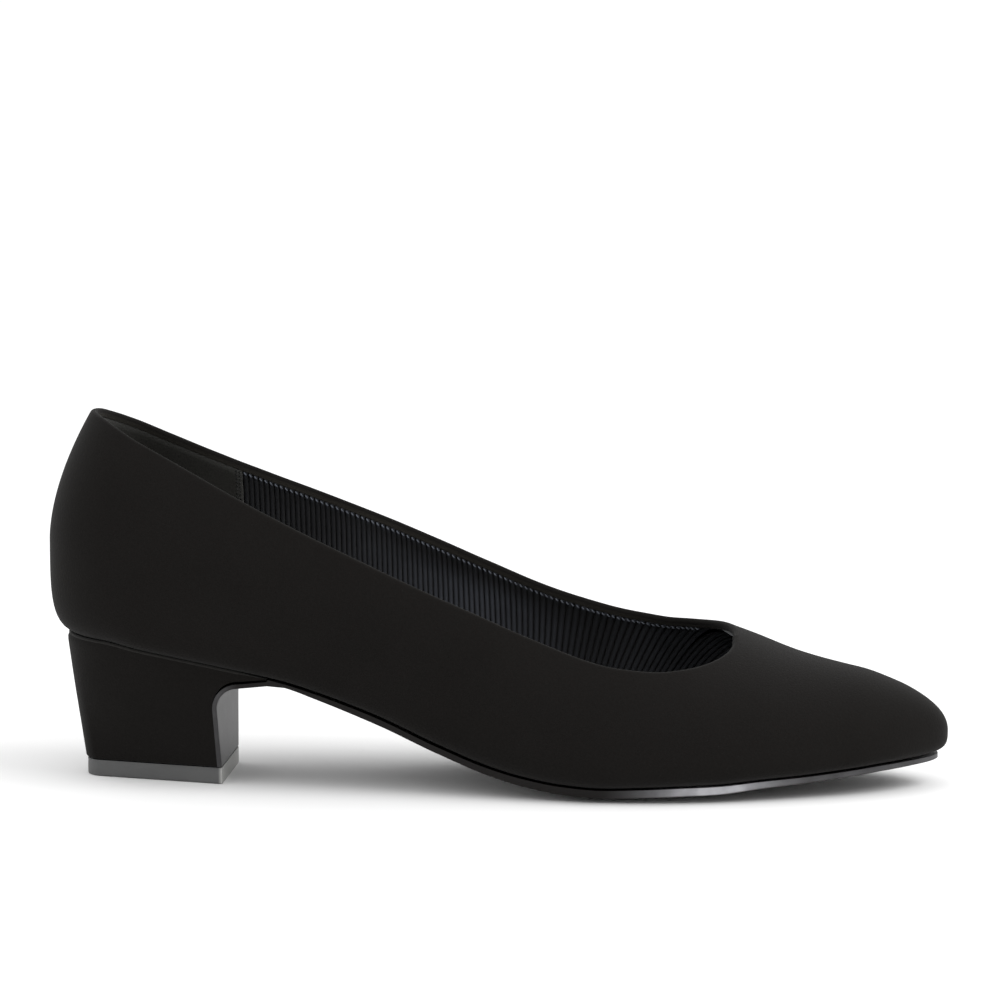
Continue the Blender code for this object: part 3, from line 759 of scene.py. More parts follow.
class Shader:
    """A material's nodes, with short ways to add and link them."""

    tint_rise = 1.2  # how much of the tone goes into the tint
    tint_least = 0.4

    def __init__(self, name: str) -> None:
        """Starts a material with its Principled shader.

        Args:
            name: the material's name.
        """
        self.material = bpy.data.materials.new(name)
        self.material.use_nodes = True
        self.tree = self.material.node_tree
        self.surface = self.tree.nodes["Principled BSDF"]
        self.place = self.tree.nodes.new("ShaderNodeTexCoord").outputs["Object"]

    def group(self, tree: Tree, **values: float) -> Node:
        """Adds a node group with its values, fed with Object coordinates."""
        node = self.tree.nodes.new("ShaderNodeGroup")
        node.node_tree = tree
        for name, value in values.items():
            node.inputs[name].default_value = value
        self.tree.links.new(self.place, node.inputs["Place"])
        return node

    def mix(self, mask: Socket, low: Socket | Colour, high: Colour) -> Socket:
        """Mixes two colours by a mask.

        Args:
            mask: 0 for the first colour to 1 for the second.
            low: first colour, or a socket that gives it.
            high: second colour.

        Returns:
            The mixed colour.
        """
        node = self.tree.nodes.new("ShaderNodeMix")
        node.data_type = "RGBA"
        self.tree.links.new(mask, node.inputs["Factor"])
        if isinstance(low, Socket):
            self.tree.links.new(low, node.inputs["A"])
        else:
            node.inputs["A"].default_value = (*low, 1)
        node.inputs["B"].default_value = (*high, 1)
        return node.outputs["Result"]

    def paint(self, tone: Socket, finish: Finish) -> None:
        """Feeds the colour: low to high by a tone, then towards the tint by the mesh's own tint.

        The second mask is the mesh's tint times the tone, which is stretched and lifted first.

        Args:
            tone: 0 for the low colour to 1 for the high one.
            finish: gives the colours.
        """
        colour = self.mix(tone, finish.low, finish.high)
        if finish.tint:
            value = self.tree.nodes.new("ShaderNodeAttribute")
            value.attribute_name = "tint"
            uneven = calculate(self.tree, "MULTIPLY_ADD", tone, self.tint_rise, self.tint_least)
            part = calculate(self.tree, "MULTIPLY", value.outputs["Fac"], uneven)
            colour = self.mix(part, colour, finish.tint)
        self.feed("Base Color", colour)

    def feed(self, name: str, socket: Socket) -> None:
        """Links a socket to one of the shader's inputs."""
        self.tree.links.new(socket, self.surface.inputs[name])

    def bump(self, height: Socket, depth: float) -> None:
        """Feeds the shader's Normal from a height, in metres."""
        node = self.tree.nodes.new("ShaderNodeBump")
        node.inputs["Distance"].default_value = depth
        self.tree.links.new(height, node.inputs["Height"])
        self.feed("Normal", node.outputs["Normal"])

    def fix(self, **values: float) -> None:
        """Sets the shader's constant inputs, with _ for each space in a name."""
        for name, value in values.items():
            self.surface.inputs[name.replace("_", " ")].default_value = value


class Effects:
    """Node groups that several finishes share, each built once."""

    _made: dict[str, Tree] = {}

    fibre_share = 0.55  # of the nap's tone, the rest is its clouds

    @staticmethod
    def _start(name: str, inputs: dict[str, float]) -> tuple[Tree, Node, Node]:
        """New group with a Place, its number inputs, and Tone and Height outputs.

        Args:
            name: the group's name.
            inputs: names and first values of its number inputs.

        Returns:
            The tree, its input node and its output node.
        """
        tree = bpy.data.node_groups.new(name, "ShaderNodeTree")
        tree.interface.new_socket("Place", in_out="INPUT", socket_type="NodeSocketVector")
        for label, value in inputs.items():
            socket = tree.interface.new_socket(label, in_out="INPUT", socket_type="NodeSocketFloat")
            socket.default_value = value
        for label in ("Tone", "Height"):
            tree.interface.new_socket(label, in_out="OUTPUT", socket_type="NodeSocketFloat")
        return tree, tree.nodes.new("NodeGroupInput"), tree.nodes.new("NodeGroupOutput")

    @staticmethod
    def _noise(tree: Tree, given: Node, scale: str, detail: float, roughness: float) -> Socket:
        """Noise at the group's Place.

        Args:
            tree: takes the node.
            given: the group's input node.
            scale: name of the input that gives the noise its scale.
            detail: of the noise.
            roughness: of the noise.

        Returns:
            The noise.
        """
        node = tree.nodes.new("ShaderNodeTexNoise")
        node.inputs["Detail"].default_value = detail
        node.inputs["Roughness"].default_value = roughness
        tree.links.new(given.outputs["Place"], node.inputs["Vector"])
        tree.links.new(given.outputs[scale], node.inputs["Scale"])
        return node.outputs["Fac"]

    @classmethod
    def nap(cls) -> Tree:
        """Short nap: broad clouds where it lies another way, and the fine grain of its fibres."""
        if "nap" not in cls._made:
            tree, given, put = cls._start("nap", {"Clouds": 30.0, "Fibres": 2600.0})
            clouds = cls._noise(tree, given, "Clouds", detail=5.0, roughness=0.6)
            fibres = cls._noise(tree, given, "Fibres", detail=2.0, roughness=0.7)
            part = calculate(tree, "MULTIPLY", clouds, 1 - cls.fibre_share)
            tone = calculate(tree, "MULTIPLY_ADD", fibres, cls.fibre_share, part)
            tree.links.new(tone, put.inputs["Tone"])
            tree.links.new(fibres, put.inputs["Height"])
            cls._made["nap"] = tree
        return cls._made["nap"]

    @classmethod
    def pebble(cls) -> Tree:
        """Fine uneven surface of moulded rubber or smooth leather."""
        if "pebble" not in cls._made:
            tree, given, put = cls._start("pebble", {"Clouds": 60.0, "Grain": 1400.0})
            clouds = cls._noise(tree, given, "Clouds", detail=4.0, roughness=0.55)
            grain = cls._noise(tree, given, "Grain", detail=3.0, roughness=0.5)
            tree.links.new(clouds, put.inputs["Tone"])
            tree.links.new(grain, put.inputs["Height"])
            cls._made["pebble"] = tree
        return cls._made["pebble"]


@dataclass(frozen=True, kw_only=True)
class Napped(Finish):
    """Nubuck or suede: a matte dark fibre mat that lightens where it is seen along the surface."""

    sheen: float
    sheen_roughness: float = 0.45
    roughness: float = 0.92
    clouds: float = 30.0
    fibres: float = 2600.0
    depth: float = 0.00012
    specular: float = 0.12

    def material(self) -> bpy.types.Material:
        """The finish as a material."""
        shader = Shader(self.name)
        nap = shader.group(Effects.nap(), Clouds=self.clouds, Fibres=self.fibres)
        shader.paint(nap.outputs["Tone"], self)
        shader.bump(nap.outputs["Height"], self.depth)
        shader.fix(Roughness=self.roughness, Specular_IOR_Level=self.specular)
        shader.fix(Sheen_Weight=self.sheen, Sheen_Roughness=self.sheen_roughness)
        return shader.material


@dataclass(frozen=True, kw_only=True)
class Smooth(Finish):
    """Smooth leather, satin, thread or rubber with a fine grain."""

    roughness: float
    clouds: float = 60.0
    grain: float = 1400.0
    depth: float = 0.00004
    specular: float = 0.5

    def material(self) -> bpy.types.Material:
        """The finish as a material."""
        shader = Shader(self.name)
        pebble = shader.group(Effects.pebble(), Clouds=self.clouds, Grain=self.grain)
        shader.paint(pebble.outputs["Tone"], self)
        shader.bump(pebble.outputs["Height"], self.depth)
        shader.fix(Roughness=self.roughness, Specular_IOR_Level=self.specular)
        return shader.material


@dataclass
class Upper:
    """Nubuck outside, rolled over the topline as a facing."""

    skin: Skin
    wall: Wall
    heel_rows: int = 36
    side_rows: int = 90
    throat_rows: int = 56
    vamp_rows: int = 40
    toe_rows: int = 30
    low_columns: int = 22
    high_columns: int = 40
    rim_steps: int = 10
    foot_steps: int = 5
    behind: float = 0.0001  # how far the facing lies behind the linings' back
    under_edge: float = 0.0004  # how far down the way back up behind the facing ends
    roll_highlight_start: float = 0.7  # round the roll, where the painted highlight on its inside starts
    # run round the roll over which the painted highlight grows
    roll_highlight_run: float = 0.3

    def stations(self) -> tuple[Array, int]:
        """Stations from the back to the nose, close together at the ends and at the throat.

        Returns:
            The stations, as shares of the length, and the throat's row.
        """
        last = self.skin.last
        throat = last.length - last.vamp_length
        start = throat - last.throat_length
        heel_turn = np.linspace(0, QUARTER, self.heel_rows + 1)
        throat_turn = np.linspace(0, QUARTER, self.throat_rows + 1)[1:]
        toe_turn = np.linspace(0, QUARTER, self.toe_rows + 1)[1:]
        heel = last.heel_round * (1 - np.cos(heel_turn))
        side = np.linspace(last.heel_round, start, self.side_rows + 1)[1:]
        curve = start + last.throat_length * np.sin(throat_turn)
        vamp = np.linspace(throat, last.length - last.toe_round, self.vamp_rows + 1)[1:]
        toe = last.length - last.toe_round * (1 - np.sin(toe_turn))
        rows = np.concatenate([heel, side, curve, vamp, toe]) / last.length
        return rows, self.heel_rows + self.side_rows + self.throat_rows

    def sheet(self) -> tuple[Array, Array, int]:
        """Outer face as one grid round the shoe.

        Each station's arch is read at even shares round the feather edge and at even shares of its
        way up to the opening's edge or the middle line.

        Returns:
            Points, normals and the number of rows from each nose to the throat.
        """
        last = self.skin.last
        at, throat = self.stations()
        arches = last.half_arches(at)
        low_share = np.linspace(0, 1, self.low_columns, endpoint=False)
        high_share = np.linspace(0, 1, self.high_columns + 1)
        sides = []
        for side in Side:
            arch = arches[side]
            edge = arch.middle - (arch.middle - arch.edge) * last.closing(at)
            wanted = [arch.arc[:, :1] * (1 - low_share), high_share * edge[:, None]]
            sides.append(read_rows(np.concatenate(wanted, axis=1), arch.arc, arch.points))
        grid = np.concatenate([sides[0][::-1], sides[1][1:]])
        normals = normals_of(grid)
        for row in (0, -1):
            normals[row, self.low_columns :] = (1.0, 0.0, 0.0)
        ahead = len(at) - 1 - throat
        seam = unit(normals[: ahead + 1, -1] + normals[::-1][: ahead + 1, -1])
        normals[: ahead + 1, -1] = seam
        normals[-ahead - 1 :, -1] = seam[::-1]
        return grid, normals, ahead

    def facing(self, place: Array, normal: Array) -> Array:
        """Rolled edge: a profile carried along the topline.

        The profile is a half round over the edge, a flat band down the inside, a quarter round at its
        foot and the way back up behind it. At each point it lies along the normal and the way out of the
        opening, which is the cross product of the normal and the topline's direction.

        Args:
            place: topline points.
            normal: their normals.

        Returns:
            Points, topline by profile by 3, without the profile's two ends.
        """
        wall = self.wall
        closed = np.concatenate([place[-2:-1], place, place[1:2]])
        out = unit(np.cross(normal, closed[2:] - closed[:-2]))
        out *= np.sign(out[len(out) // 2, 2])
        turn = np.linspace(0, np.pi, self.rim_steps + 1)[1:]
        half = wall.facing / 2
        top = np.stack([half * np.sin(turn), -half + half * np.cos(turn)], -1)
        foot_round = wall.facing - wall.lining_face
        bend = np.linspace(0, QUARTER, self.foot_steps)
        foot_up = -wall.facing_height + foot_round * (1 - np.sin(bend))
        foot_out = -wall.lining_face - foot_round * np.cos(bend)
        back = [
            [-wall.facing_height, -wall.lining_back - self.behind],
            [-self.under_edge, -wall.lining_back],
        ]
        profile = np.concatenate([top, np.stack([foot_up, foot_out], -1), back])
        up_part, out_part = profile[None, :, :1], profile[None, :, 1:]
        return place[:, None] + out[:, None] * up_part + normal[:, None] * out_part

    def build(self, finish: Napped) -> bpy.types.Object:
        """Makes the nubuck upper."""
        grid, normals, ahead = self.sheet()
        body = Body()
        outer = body.grid(grid)
        inner = body.grid(grid - normals * self.wall.leather)
        opening = slice(ahead, len(grid) - ahead)
        rolled = self.facing(grid[opening, -1], normals[opening, -1])
        # painted highlight on the inside of the facing, growing round the roll
        past = np.arange(rolled.shape[1]) / self.rim_steps - self.roll_highlight_start
        roll = body.add(rolled, np.clip(past / self.roll_highlight_run, 0, 1)[None])
        body.join(np.concatenate([outer[opening, -1:], roll, inner[opening, -1:]], axis=1))
        body.join(np.stack([outer[:, 0], inner[:, 0]]))
        piece = body.piece("upper_nubuck", finish.material(), self.skin.last.origin, sharp=60)
        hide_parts("upper")
        return piece


@dataclass
class Linings:
    """Smooth suede round the heel and pleated satin from there to the toe."""

    skin: Skin
    wall: Wall
    seam: float = 0.0500
    seam_gap: float = 0.0002
    heel_rows: int = 150
    heel_columns: int = 40
    heel_thicker: float = 0.0002
    edge_sheen: float = 0.0015  # reach of the painted sheen along the top and front edges
    # painted sheen along the front edges, as a part of that along the top
    front_sheen: float = 0.5
    pleat: float = 0.00142
    pleat_depth: float = 0.00035
    pleat_end: float = 0.205
    toe_end: float = 0.236
    plain_rows: int = 16
    slant_start: float = 0.120
    slant_end: float = 0.190
    slant: float = 0.85
    steps: int = 8
    columns: int = 36
    search_steps: int = 600
    under_sock: float = 0.0035
    top_roll: float = 0.00045
    roll_width: float = 0.0006
    roll_down: float = 0.8  # its middle under the top, of its width
    # painted sheen of the pleats: on every crest, along the top roll, in a patch low down and towards the
    # toe
    crest: float = 0.14
    sheen: float = 0.45
    sheen_at: float = 0.112
    sheen_reach: float = 0.022
    sheen_down: float = 0.0036
    sheen_fade: float = 0.006
    deep_sheen: float = 0.12  # painted sheen on the crests, lighter towards the toe
    deep_from: float = 0.145
    deep_run: float = 0.02

    def heel(self, finish: Napped) -> bpy.types.Object:
        """Smooth lining round the heel, from seam to seam, with painted sheen along its top and front
        edges as bell curves.
        """
        skin, wall = self.skin, self.wall
        end = skin.way(self.seam / skin.last.length)
        way = np.linspace(-end, end, self.heel_rows)[:, None]
        low = skin.along_rows(skin.level(self.under_sock), way)
        high = skin.topline(way) - wall.lining_drop
        up = low + (high - low) * np.linspace(0, 1, self.heel_columns)[None]
        spot = skin.around(way, up)
        # painted sheen, lighter along the top edge and the front edges
        edge_sheen = bell(high - up, self.edge_sheen) + self.front_sheen * bell(end - np.abs(way), self.edge_sheen)
        body = Body()
        body.shell(spot.under(wall.lining_face + self.heel_thicker), spot.under(wall.lining_back), edge_sheen)
        piece = body.piece("heel_lining", finish.material(), skin.last.origin)
        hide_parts("upper")
        return piece

    def pleated(self, side: Side, finish: Smooth) -> bpy.types.Object:
        """Pleated lining of one side.

        A pleat starts on the widest line and leans forward by its slant times the way up. It ends at the
        foot of the facing, found where the way up first passes the topline less the facing. Its height is
        the square root of the sine over the pleat, so that pleats are round and the grooves sharp. Near
        the top it grows by a bell curve. Its tint is its height squared times what light it catches.

        Args:
            side: of the foot.
            finish: of the satin.

        Returns:
            The new object.
        """
        skin, wall, length = self.skin, self.wall, self.skin.last.length
        count = int((self.pleat_end - self.seam) / self.pleat) * self.steps
        phase = np.arange(count + 1) / self.steps
        start = self.seam + self.seam_gap + phase * self.pleat
        plain = np.linspace(start[-1], self.toe_end, self.plain_rows)[1:]
        start = np.concatenate([start, plain])
        height = np.concatenate([np.sqrt(np.abs(np.sin(np.pi * phase))), 0 * plain])[:, None]
        lean = np.clip((start - self.slant_start) / (self.slant_end - self.slant_start), 0, 1)
        lean = (self.slant * lean * lean * (3 - 2 * lean))[:, None]
        start = start[:, None]
        tries = np.linspace(0, skin.highest, self.search_steps)
        way = side.value * skin.way(np.clip((start + lean * tries) / length, 0, 1))
        short = skin.topline(way) - wall.lining_drop - tries
        row, first = np.arange(len(start)), np.argmax(short < 0, axis=1)
        before, after = short[row, first - 1], short[row, first]
        share = before / (before - after)
        high = (tries[first - 1] + (tries[first] - tries[first - 1]) * share)[:, None]
        low = skin.along_rows(skin.level(self.under_sock), side.value * skin.way(start / length))
        up = low + (high - low) * np.linspace(0, 1, self.columns)[None]
        x = start + lean * np.maximum(up, 0)
        spot = skin.around(side.value * skin.way(np.clip(x / length, 0, 1)), up)
        near_top = bell(high - up - self.roll_width * self.roll_down, self.roll_width)
        face = self.pleat_depth * (height - 0.5) + self.top_roll * near_top * height
        face = (wall.lining_face + face)[..., None]
        # painted sheen: a patch low down near sheen_at, and more towards the toe
        sheen = self.sheen * bell(x - self.sheen_at, self.sheen_reach)
        sheen = sheen * np.clip((high - up - self.sheen_down) / self.sheen_fade, 0, 1)
        deep = self.deep_sheen * np.clip((x - self.deep_from) / self.deep_run, 0, 1)
        # painted sheen on the crests, from what light each pleat catches
        lit = height**2 * np.clip(self.crest + near_top + sheen + deep, 0, 1)
        body = Body()
        body.shell(spot.under(face), spot.under(wall.lining_back), lit)
        piece = body.piece(f"pleated_lining_{side.name.lower()}", finish.material(), skin.last.origin)
        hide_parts("upper")
        return piece


@dataclass
class Seams:
    """Stitching of the linings."""

    skin: Skin
    linings: Linings
    thread: float = 0.00020  # radius
    stitch: float = 0.0013
    slope: float = 0.9  # how steeply the top stitches fall towards the toe
    top_start: float = 0.0009  # past the seam
    top_end: float = 0.178
    top_down: float = 0.0005  # under the facing
    top_sunk: float = 0.7  # into the pleats' top roll
    columns: tuple[float, float] = (0.0007, 0.0016)  # behind the seam
    column_down: float = 0.0008  # under the facing
    column_end: float = -0.012  # over the widest line
    column_out: float = 0.00014
    pitch: float = 0.0012
    pitch_share: float = 0.7  # of a column's pitch that its stitch takes

    def top(self) -> Body:
        """Slanted stitches along the pleats' tops, one a pleat."""
        skin, linings, wall = self.skin, self.linings, self.linings.wall
        length, body = skin.last.length, Body()
        first, last = skin.way((linings.seam + self.top_start) / length), skin.way(self.top_end / length)
        roll = linings.pleat_depth / 2 + linings.top_roll * self.top_sunk
        for side in Side:
            way = side.value * np.arange(first, last, linings.pleat)
            line = skin.topline(way)
            spot = skin.around(way, line - wall.facing_height - self.top_down)
            ahead = spot.along + spot.rise * np.gradient(line, way)[:, None]
            lean = unit(ahead * side.value - spot.rise * self.slope)
            # the light thread also paints the highlight arcs on the pleats' tops
            body.stitches(spot.under(wall.lining_face + roll), lean, -spot.out, self.stitch, self.thread)
        return body

    def column(self) -> Body:
        """Upright stitches in two columns behind each seam of the heel lining."""
        skin, wall, body = self.skin, self.linings.wall, Body()
        seam, length = skin.way(self.linings.seam / skin.last.length), self.pitch * self.pitch_share
        for side in Side:
            for back in self.columns:
                way = side.value * (seam - back)
                high = skin.topline(way) - wall.facing_height - self.column_down
                spot = skin.around(way, np.arange(high, self.column_end, -self.pitch))
                centre = spot.under(wall.lining_face + self.column_out)
                body.stitches(centre, spot.rise, -spot.out, length, self.thread)
        return body

    def build(self, top_finish: Smooth, column_finish: Smooth) -> None:
        """Makes both kinds of stitches."""
        kinds = (
            ("top_stitches", self.top(), top_finish),
            ("seam_stitches", self.column(), column_finish),
        )
        for name, body, finish in kinds:
            piece = body.piece(name, finish.material(), self.skin.last.origin)


@dataclass
class Sock:
    """Sock on the insole board."""

    skin: Skin
    wall: Wall
    board: float = 0.0025
    thickness: float = 0.0008
    pad: float = 0.0006
    probe: float = 0.001  # inset that tells the way in from the edge
    side_gap: float = 0.0004
    under_gap: float = 0.0001
    columns: int = 49
    rows: int = 200

    def build(self, finish: Smooth) -> bpy.types.Object:
        """Makes the sock: a sheet over the board, padded by 1 less the fourth power across."""
        skin, last = self.skin, self.skin.last
        lift = self.wall.whole + last.gap
        way = np.linspace(0.0, skin.whole_way, self.rows)
        level = skin.level(lift + self.board)
        edges = []
        for side in Side:
            up = skin.along_rows(level, side.value * way)
            ring = skin.read(side.value * way, up)
            edge, inside = (last.outline(skin.at(way), side, inset) for inset in (0.0, self.probe))
            inward = unit(np.stack(inside, -1) - np.stack(edge, -1))
            ring[:, :2] += inward * (lift + self.side_gap)
            edges.append(ring)
        top = across(edges[0], edges[1], self.columns)
        t = np.linspace(-1, 1, self.columns)[None]
        under = top.copy()
        under[..., 2] = last.bottom(top[..., 0], top[..., 1]) + lift + self.board + self.under_gap
        top[..., 2] = under[..., 2] + self.thickness + self.pad * (1 - t**4)
        body = Body()
        body.shell(top, under)
        piece = body.piece("sock", finish.material(), last.origin)
        return piece


@dataclass(frozen=True)
class HeelSizes:
    """Sizes of the heel, its breast and its top lift."""

    top_lift: float = 0.0045
    breast_foot: float = 0.0479
    breast_slant: float = 0.0006
    breast_radius: float = 0.0075
    wing_end: float = 0.0625
    wing_tip: float = 0.0001  # thickness of the wing's end
    wing_rise: float = 0.0008  # of its underside towards the end
    wing_bend: float = 0.004  # run in which the flap passes into the sole
    wing_close: float = 0.0003  # run in which the sole fills in behind the wing
    seat_share: float = 0.97  # way up of the last outline below the roof
    foot_back: float = 0.0094
    foot_width: float = 0.036
    nose_share: float = 0.36  # width at the foot's back, of its front's
    foot_round: float = 0.0039
    lift_round: float = 0.0006
    flap: float = 0.0010
    flap_gap: float = 0.0001
    edge_round: float = 0.0004
    fold: float = 0.0004
    fold_sunk: float = 0.6  # how far the fold's middle is sunk, of its radius
    seat_bend: float = 0.0007  # how far the top is bent in at the back
    seat_reach: float = 0.07  # and over which part of the way up
    foot_bend: float = 0.0006
    lift_inset: float = 0.0004


@dataclass(frozen=True)
class EdgeTones:
    """Where the edges of sole and lift are lighter: painted highlights along the sole's front edge and on
    the lift's front, and a lighter grey on the flap. Places are distances from the last's back.
    """

    front: float = 0.13  # painted highlight on the sole's edge from the ball forward
    front_start: float = 0.155
    front_run: float = 0.020
    peak: float = 0.87  # painted highlight, a bell curve on the ball's front
    peak_at: float = 0.184
    peak_reach: float = 0.013
    flap: float = 0.085
    flap_end: float = 0.008  # behind the wing's end
    flap_run: float = 0.004
    lift_run: float = 0.015  # painted highlight on the lift's front, as a share of the lift's length


@dataclass
class Heel:
    """Covered heel, its top lift, and the sole with its flap down the breast."""

    last: Last
    sizes: HeelSizes = HeelSizes()
    tones: EdgeTones = EdgeTones()
    seat_rows: int = 60
    columns: int = 33
    foot_share: float = 0.04  # of the breast's leg, with closer rows
    foot_rows: int = 6
    leg_rows: int = 24
    arc_rows: int = 18
    wing_rows: int = 8
    fold_steps: int = 13
    fold_fade: int = 6  # rows over which the fold thins out
    lift_steps: int = 5
    sole_steps: int = 4

    @property
    def foot(self) -> float:
        """Foot of the covered heel over the floor."""
        return self.sizes.top_lift + self.last.gap

    def breast(self) -> tuple[Array, Array]:
        """Front of the heel in its middle plane: a leg, a quarter round and a wing.

        Returns:
            Points (x, z) from the foot to the end of the wing, and the way out at each.
        """
        sizes, last = self.sizes, self.last
        at = np.array(sizes.wing_end / last.length)
        roof = last.edge_height(at) - last.crown * smooth(PROFILES, "crown", at) - last.gap
        roof = roof - sizes.wing_tip - sizes.wing_rise
        waist, radius = sizes.breast_foot - sizes.breast_slant, sizes.breast_radius
        low = np.linspace(0, self.foot_share, self.foot_rows, endpoint=False)
        high = np.linspace(self.foot_share, 1, self.leg_rows, endpoint=False)
        foot, bend = np.array([sizes.breast_foot, self.foot]), np.array([waist, roof - radius])
        leg = foot + (bend - foot) * np.concatenate([low, high])[:, None]
        turn = np.linspace(0, QUARTER, self.arc_rows)
        arc = np.stack([waist + radius * (1 - np.cos(turn)), roof - radius * (1 - np.sin(turn))], -1)
        start, end = np.array([waist + radius, roof]), np.array([sizes.wing_end, roof + sizes.wing_rise])
        wing = start + (end - start) * np.linspace(0, 1, self.wing_rows + 1)[1:, None]
        line = np.concatenate([leg, arc, wing])
        way = unit(np.gradient(line, axis=0))
        return line, np.stack([way[:, 1], -way[:, 0]], -1)

    def breast_half(self, z: Array) -> Array:
        """Half width of the heel's front at a height."""
        line, _ = self.breast()
        seat = self.last.half_width(np.array(self.sizes.wing_end / self.last.length), Side.INNER)
        foot = self.sizes.foot_width / 2
        share = np.clip((z - self.foot) / (line[-1, 1] - self.foot), 0, 1)
        return foot + (seat - self.last.seat_inset - foot) * share

    def shares(self) -> Array:
        """Shares of the way from the heel's back to its front, close together at the back."""
        return 1 - np.cos(np.linspace(0, QUARTER, self.seat_rows + 1))

    def seat_outline(self) -> tuple[Array, Array]:
        """Outline below the seat, closed at the back by an ellipse."""
        last = self.last
        x0 = last.feather_inset(np.array(0.0))
        x = x0 + (self.sizes.wing_end - x0) * self.shares()
        closed = np.sqrt(1 - (1 - np.clip((x - x0) / (last.heel_round - x0), 0, 1)) ** 2)
        return x, (last.half_width(x / last.length, Side.INNER) - last.seat_inset) * closed

    def roof_outline(self) -> tuple[Array, Array]:
        """Outline of the heel's top, which is bent in at the back."""
        x, y = self.seat_outline()
        return x + self.sizes.seat_bend * (1 - self.shares()), y

    def foot_outline(self, front: float) -> tuple[Array, Array]:
        """Outline at the foot: a wedge with a round back."""
        sizes, share = self.sizes, self.shares()
        length = front - sizes.foot_back
        closed = np.sqrt(1 - (1 - np.clip(share * length / sizes.foot_round, 0, 1)) ** 2)
        wedge = sizes.nose_share + (1 - sizes.nose_share) * share
        return sizes.foot_back + length * share, sizes.foot_width / 2 * wedge * closed

    def grid(self, x: Array, y: Array) -> Array:
        """Grid over an outline that is the same on both sides."""
        return across(np.stack([x, -y, 0 * x], -1), np.stack([x, y, 0 * x], -1), self.columns)

    def cover(self, finish: Napped) -> bpy.types.Object:
        """Covered heel: outlines from its foot to its seat, each ending on the breast's line.

        An outline is mixed from the foot's and the seat's by its way up the breast. At the foot and at
        the seat's back it is bent in by a quarter circle. From the back to the front its height passes
        over to the breast's by the square of the way.

        Args:
            finish: of its cover.

        Returns:
            The new object.
        """
        last, sizes, share = self.last, self.sizes, self.shares()
        line, _ = self.breast()
        foot_x, foot_y = self.foot_outline(sizes.breast_foot)
        seat_x, seat_y = self.seat_outline()
        rise = np.concatenate([[0], np.cumsum(np.linalg.norm(np.diff(line, axis=0), axis=1))])
        grids = []
        for (front_x, front_z), up in zip(line, sizes.seat_share * rise / rise[-1]):
            short = np.clip(1 - (front_z - self.foot) / sizes.foot_bend, 0, 1)
            bend = sizes.foot_bend * (1 - math.sqrt(1 - short * short))
            high = np.clip(1 - (1 - up) / sizes.seat_reach, 0, 1)
            x0 = foot_x[0] + (seat_x[0] - foot_x[0]) * up + bend
            x0 += sizes.seat_bend * (1 - math.sqrt(1 - high * high))
            x = x0 + (front_x - x0) * share
            shape = (1 - up) * foot_y / foot_y[-1] + up * seat_y / seat_y[-1]
            half = self.breast_half(np.array(front_z))
            grid = self.grid(x, shape * (half - bend))
            roof = last.bottom(grid[..., 0], grid[..., 1]) - last.gap
            front_share = (front_z - self.foot) / (roof[-1, self.columns // 2] - self.foot)
            level = up + (front_share - up) * share[:, None] ** 2
            grid[..., 2] = self.foot + level * (roof - self.foot)
            grids.append(grid)
        top = self.grid(*self.roof_outline())
        top[..., 2] = last.bottom(top[..., 0], top[..., 1]) - last.gap
        body = Body()
        roof, sole = body.grid(top), body.grid(grids[0])
        walls = body.add(np.stack([rim(grid) for grid in grids[:0:-1]]))
        body.join(np.concatenate([rim(roof)[None], walls, rim(sole)[None]]))
        piece = body.piece("heel_nubuck", finish.material(), last.origin)
        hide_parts("heel_block")
        return piece

    def fold(self, finish: Napped) -> bpy.types.Object:
        """Turned edge between the upper and the heel: a thin tube round the seat, wing to wing."""
        last, radius = self.last, self.sizes.fold
        x, y = self.roof_outline()
        x, y = np.concatenate([x[::-1], x[1:]]), np.concatenate([-y[::-1], y[1:]])
        path = np.stack([x, y, last.bottom(x, y) - last.gap / 2], -1)
        along = unit(np.gradient(path, axis=0))
        out = unit(np.cross((0.0, 0.0, 1.0), along))
        up = np.cross(along, out)[:, None]
        turn = np.linspace(0, 2 * np.pi, self.fold_steps)[None, :, None]
        row = np.arange(len(x))
        thick = radius * np.clip(np.minimum(row, row[::-1]) / self.fold_fade, 0, 1)[:, None, None]
        round_out = np.cos(turn) - self.sizes.fold_sunk
        tube = path[:, None] + thick * (out[:, None] * round_out + up * np.sin(turn))
        body = Body()
        body.grid(tube)
        piece = body.piece("heel_edge_fold", finish.material(), last.origin)
        return piece

    def lift(self, finish: Smooth) -> bpy.types.Object:
        """Top lift under the heel and the end of the flap, with a rounded tread edge."""
        sizes = self.sizes
        x, y = self.foot_outline(sizes.breast_foot + self.last.gap + sizes.flap)
        share = self.shares()
        top = self.grid(x + sizes.lift_inset * (1 - share), y * (1 - sizes.lift_inset / y.max()))
        top[..., 2] = sizes.top_lift
        under = top.copy()
        under[..., 2] = 0.0
        # painted highlight on the lift's front face
        front = np.clip(1 - (1 - share) / self.tones.lift_run, 0, 1)[:, None]
        body = Body()
        rounded_slab(body, top, under, sizes.lift_round, self.lift_steps, front)
        piece = body.piece("top_lift_rubber", finish.material(), self.last.origin)
        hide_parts("top_lift")
        return piece

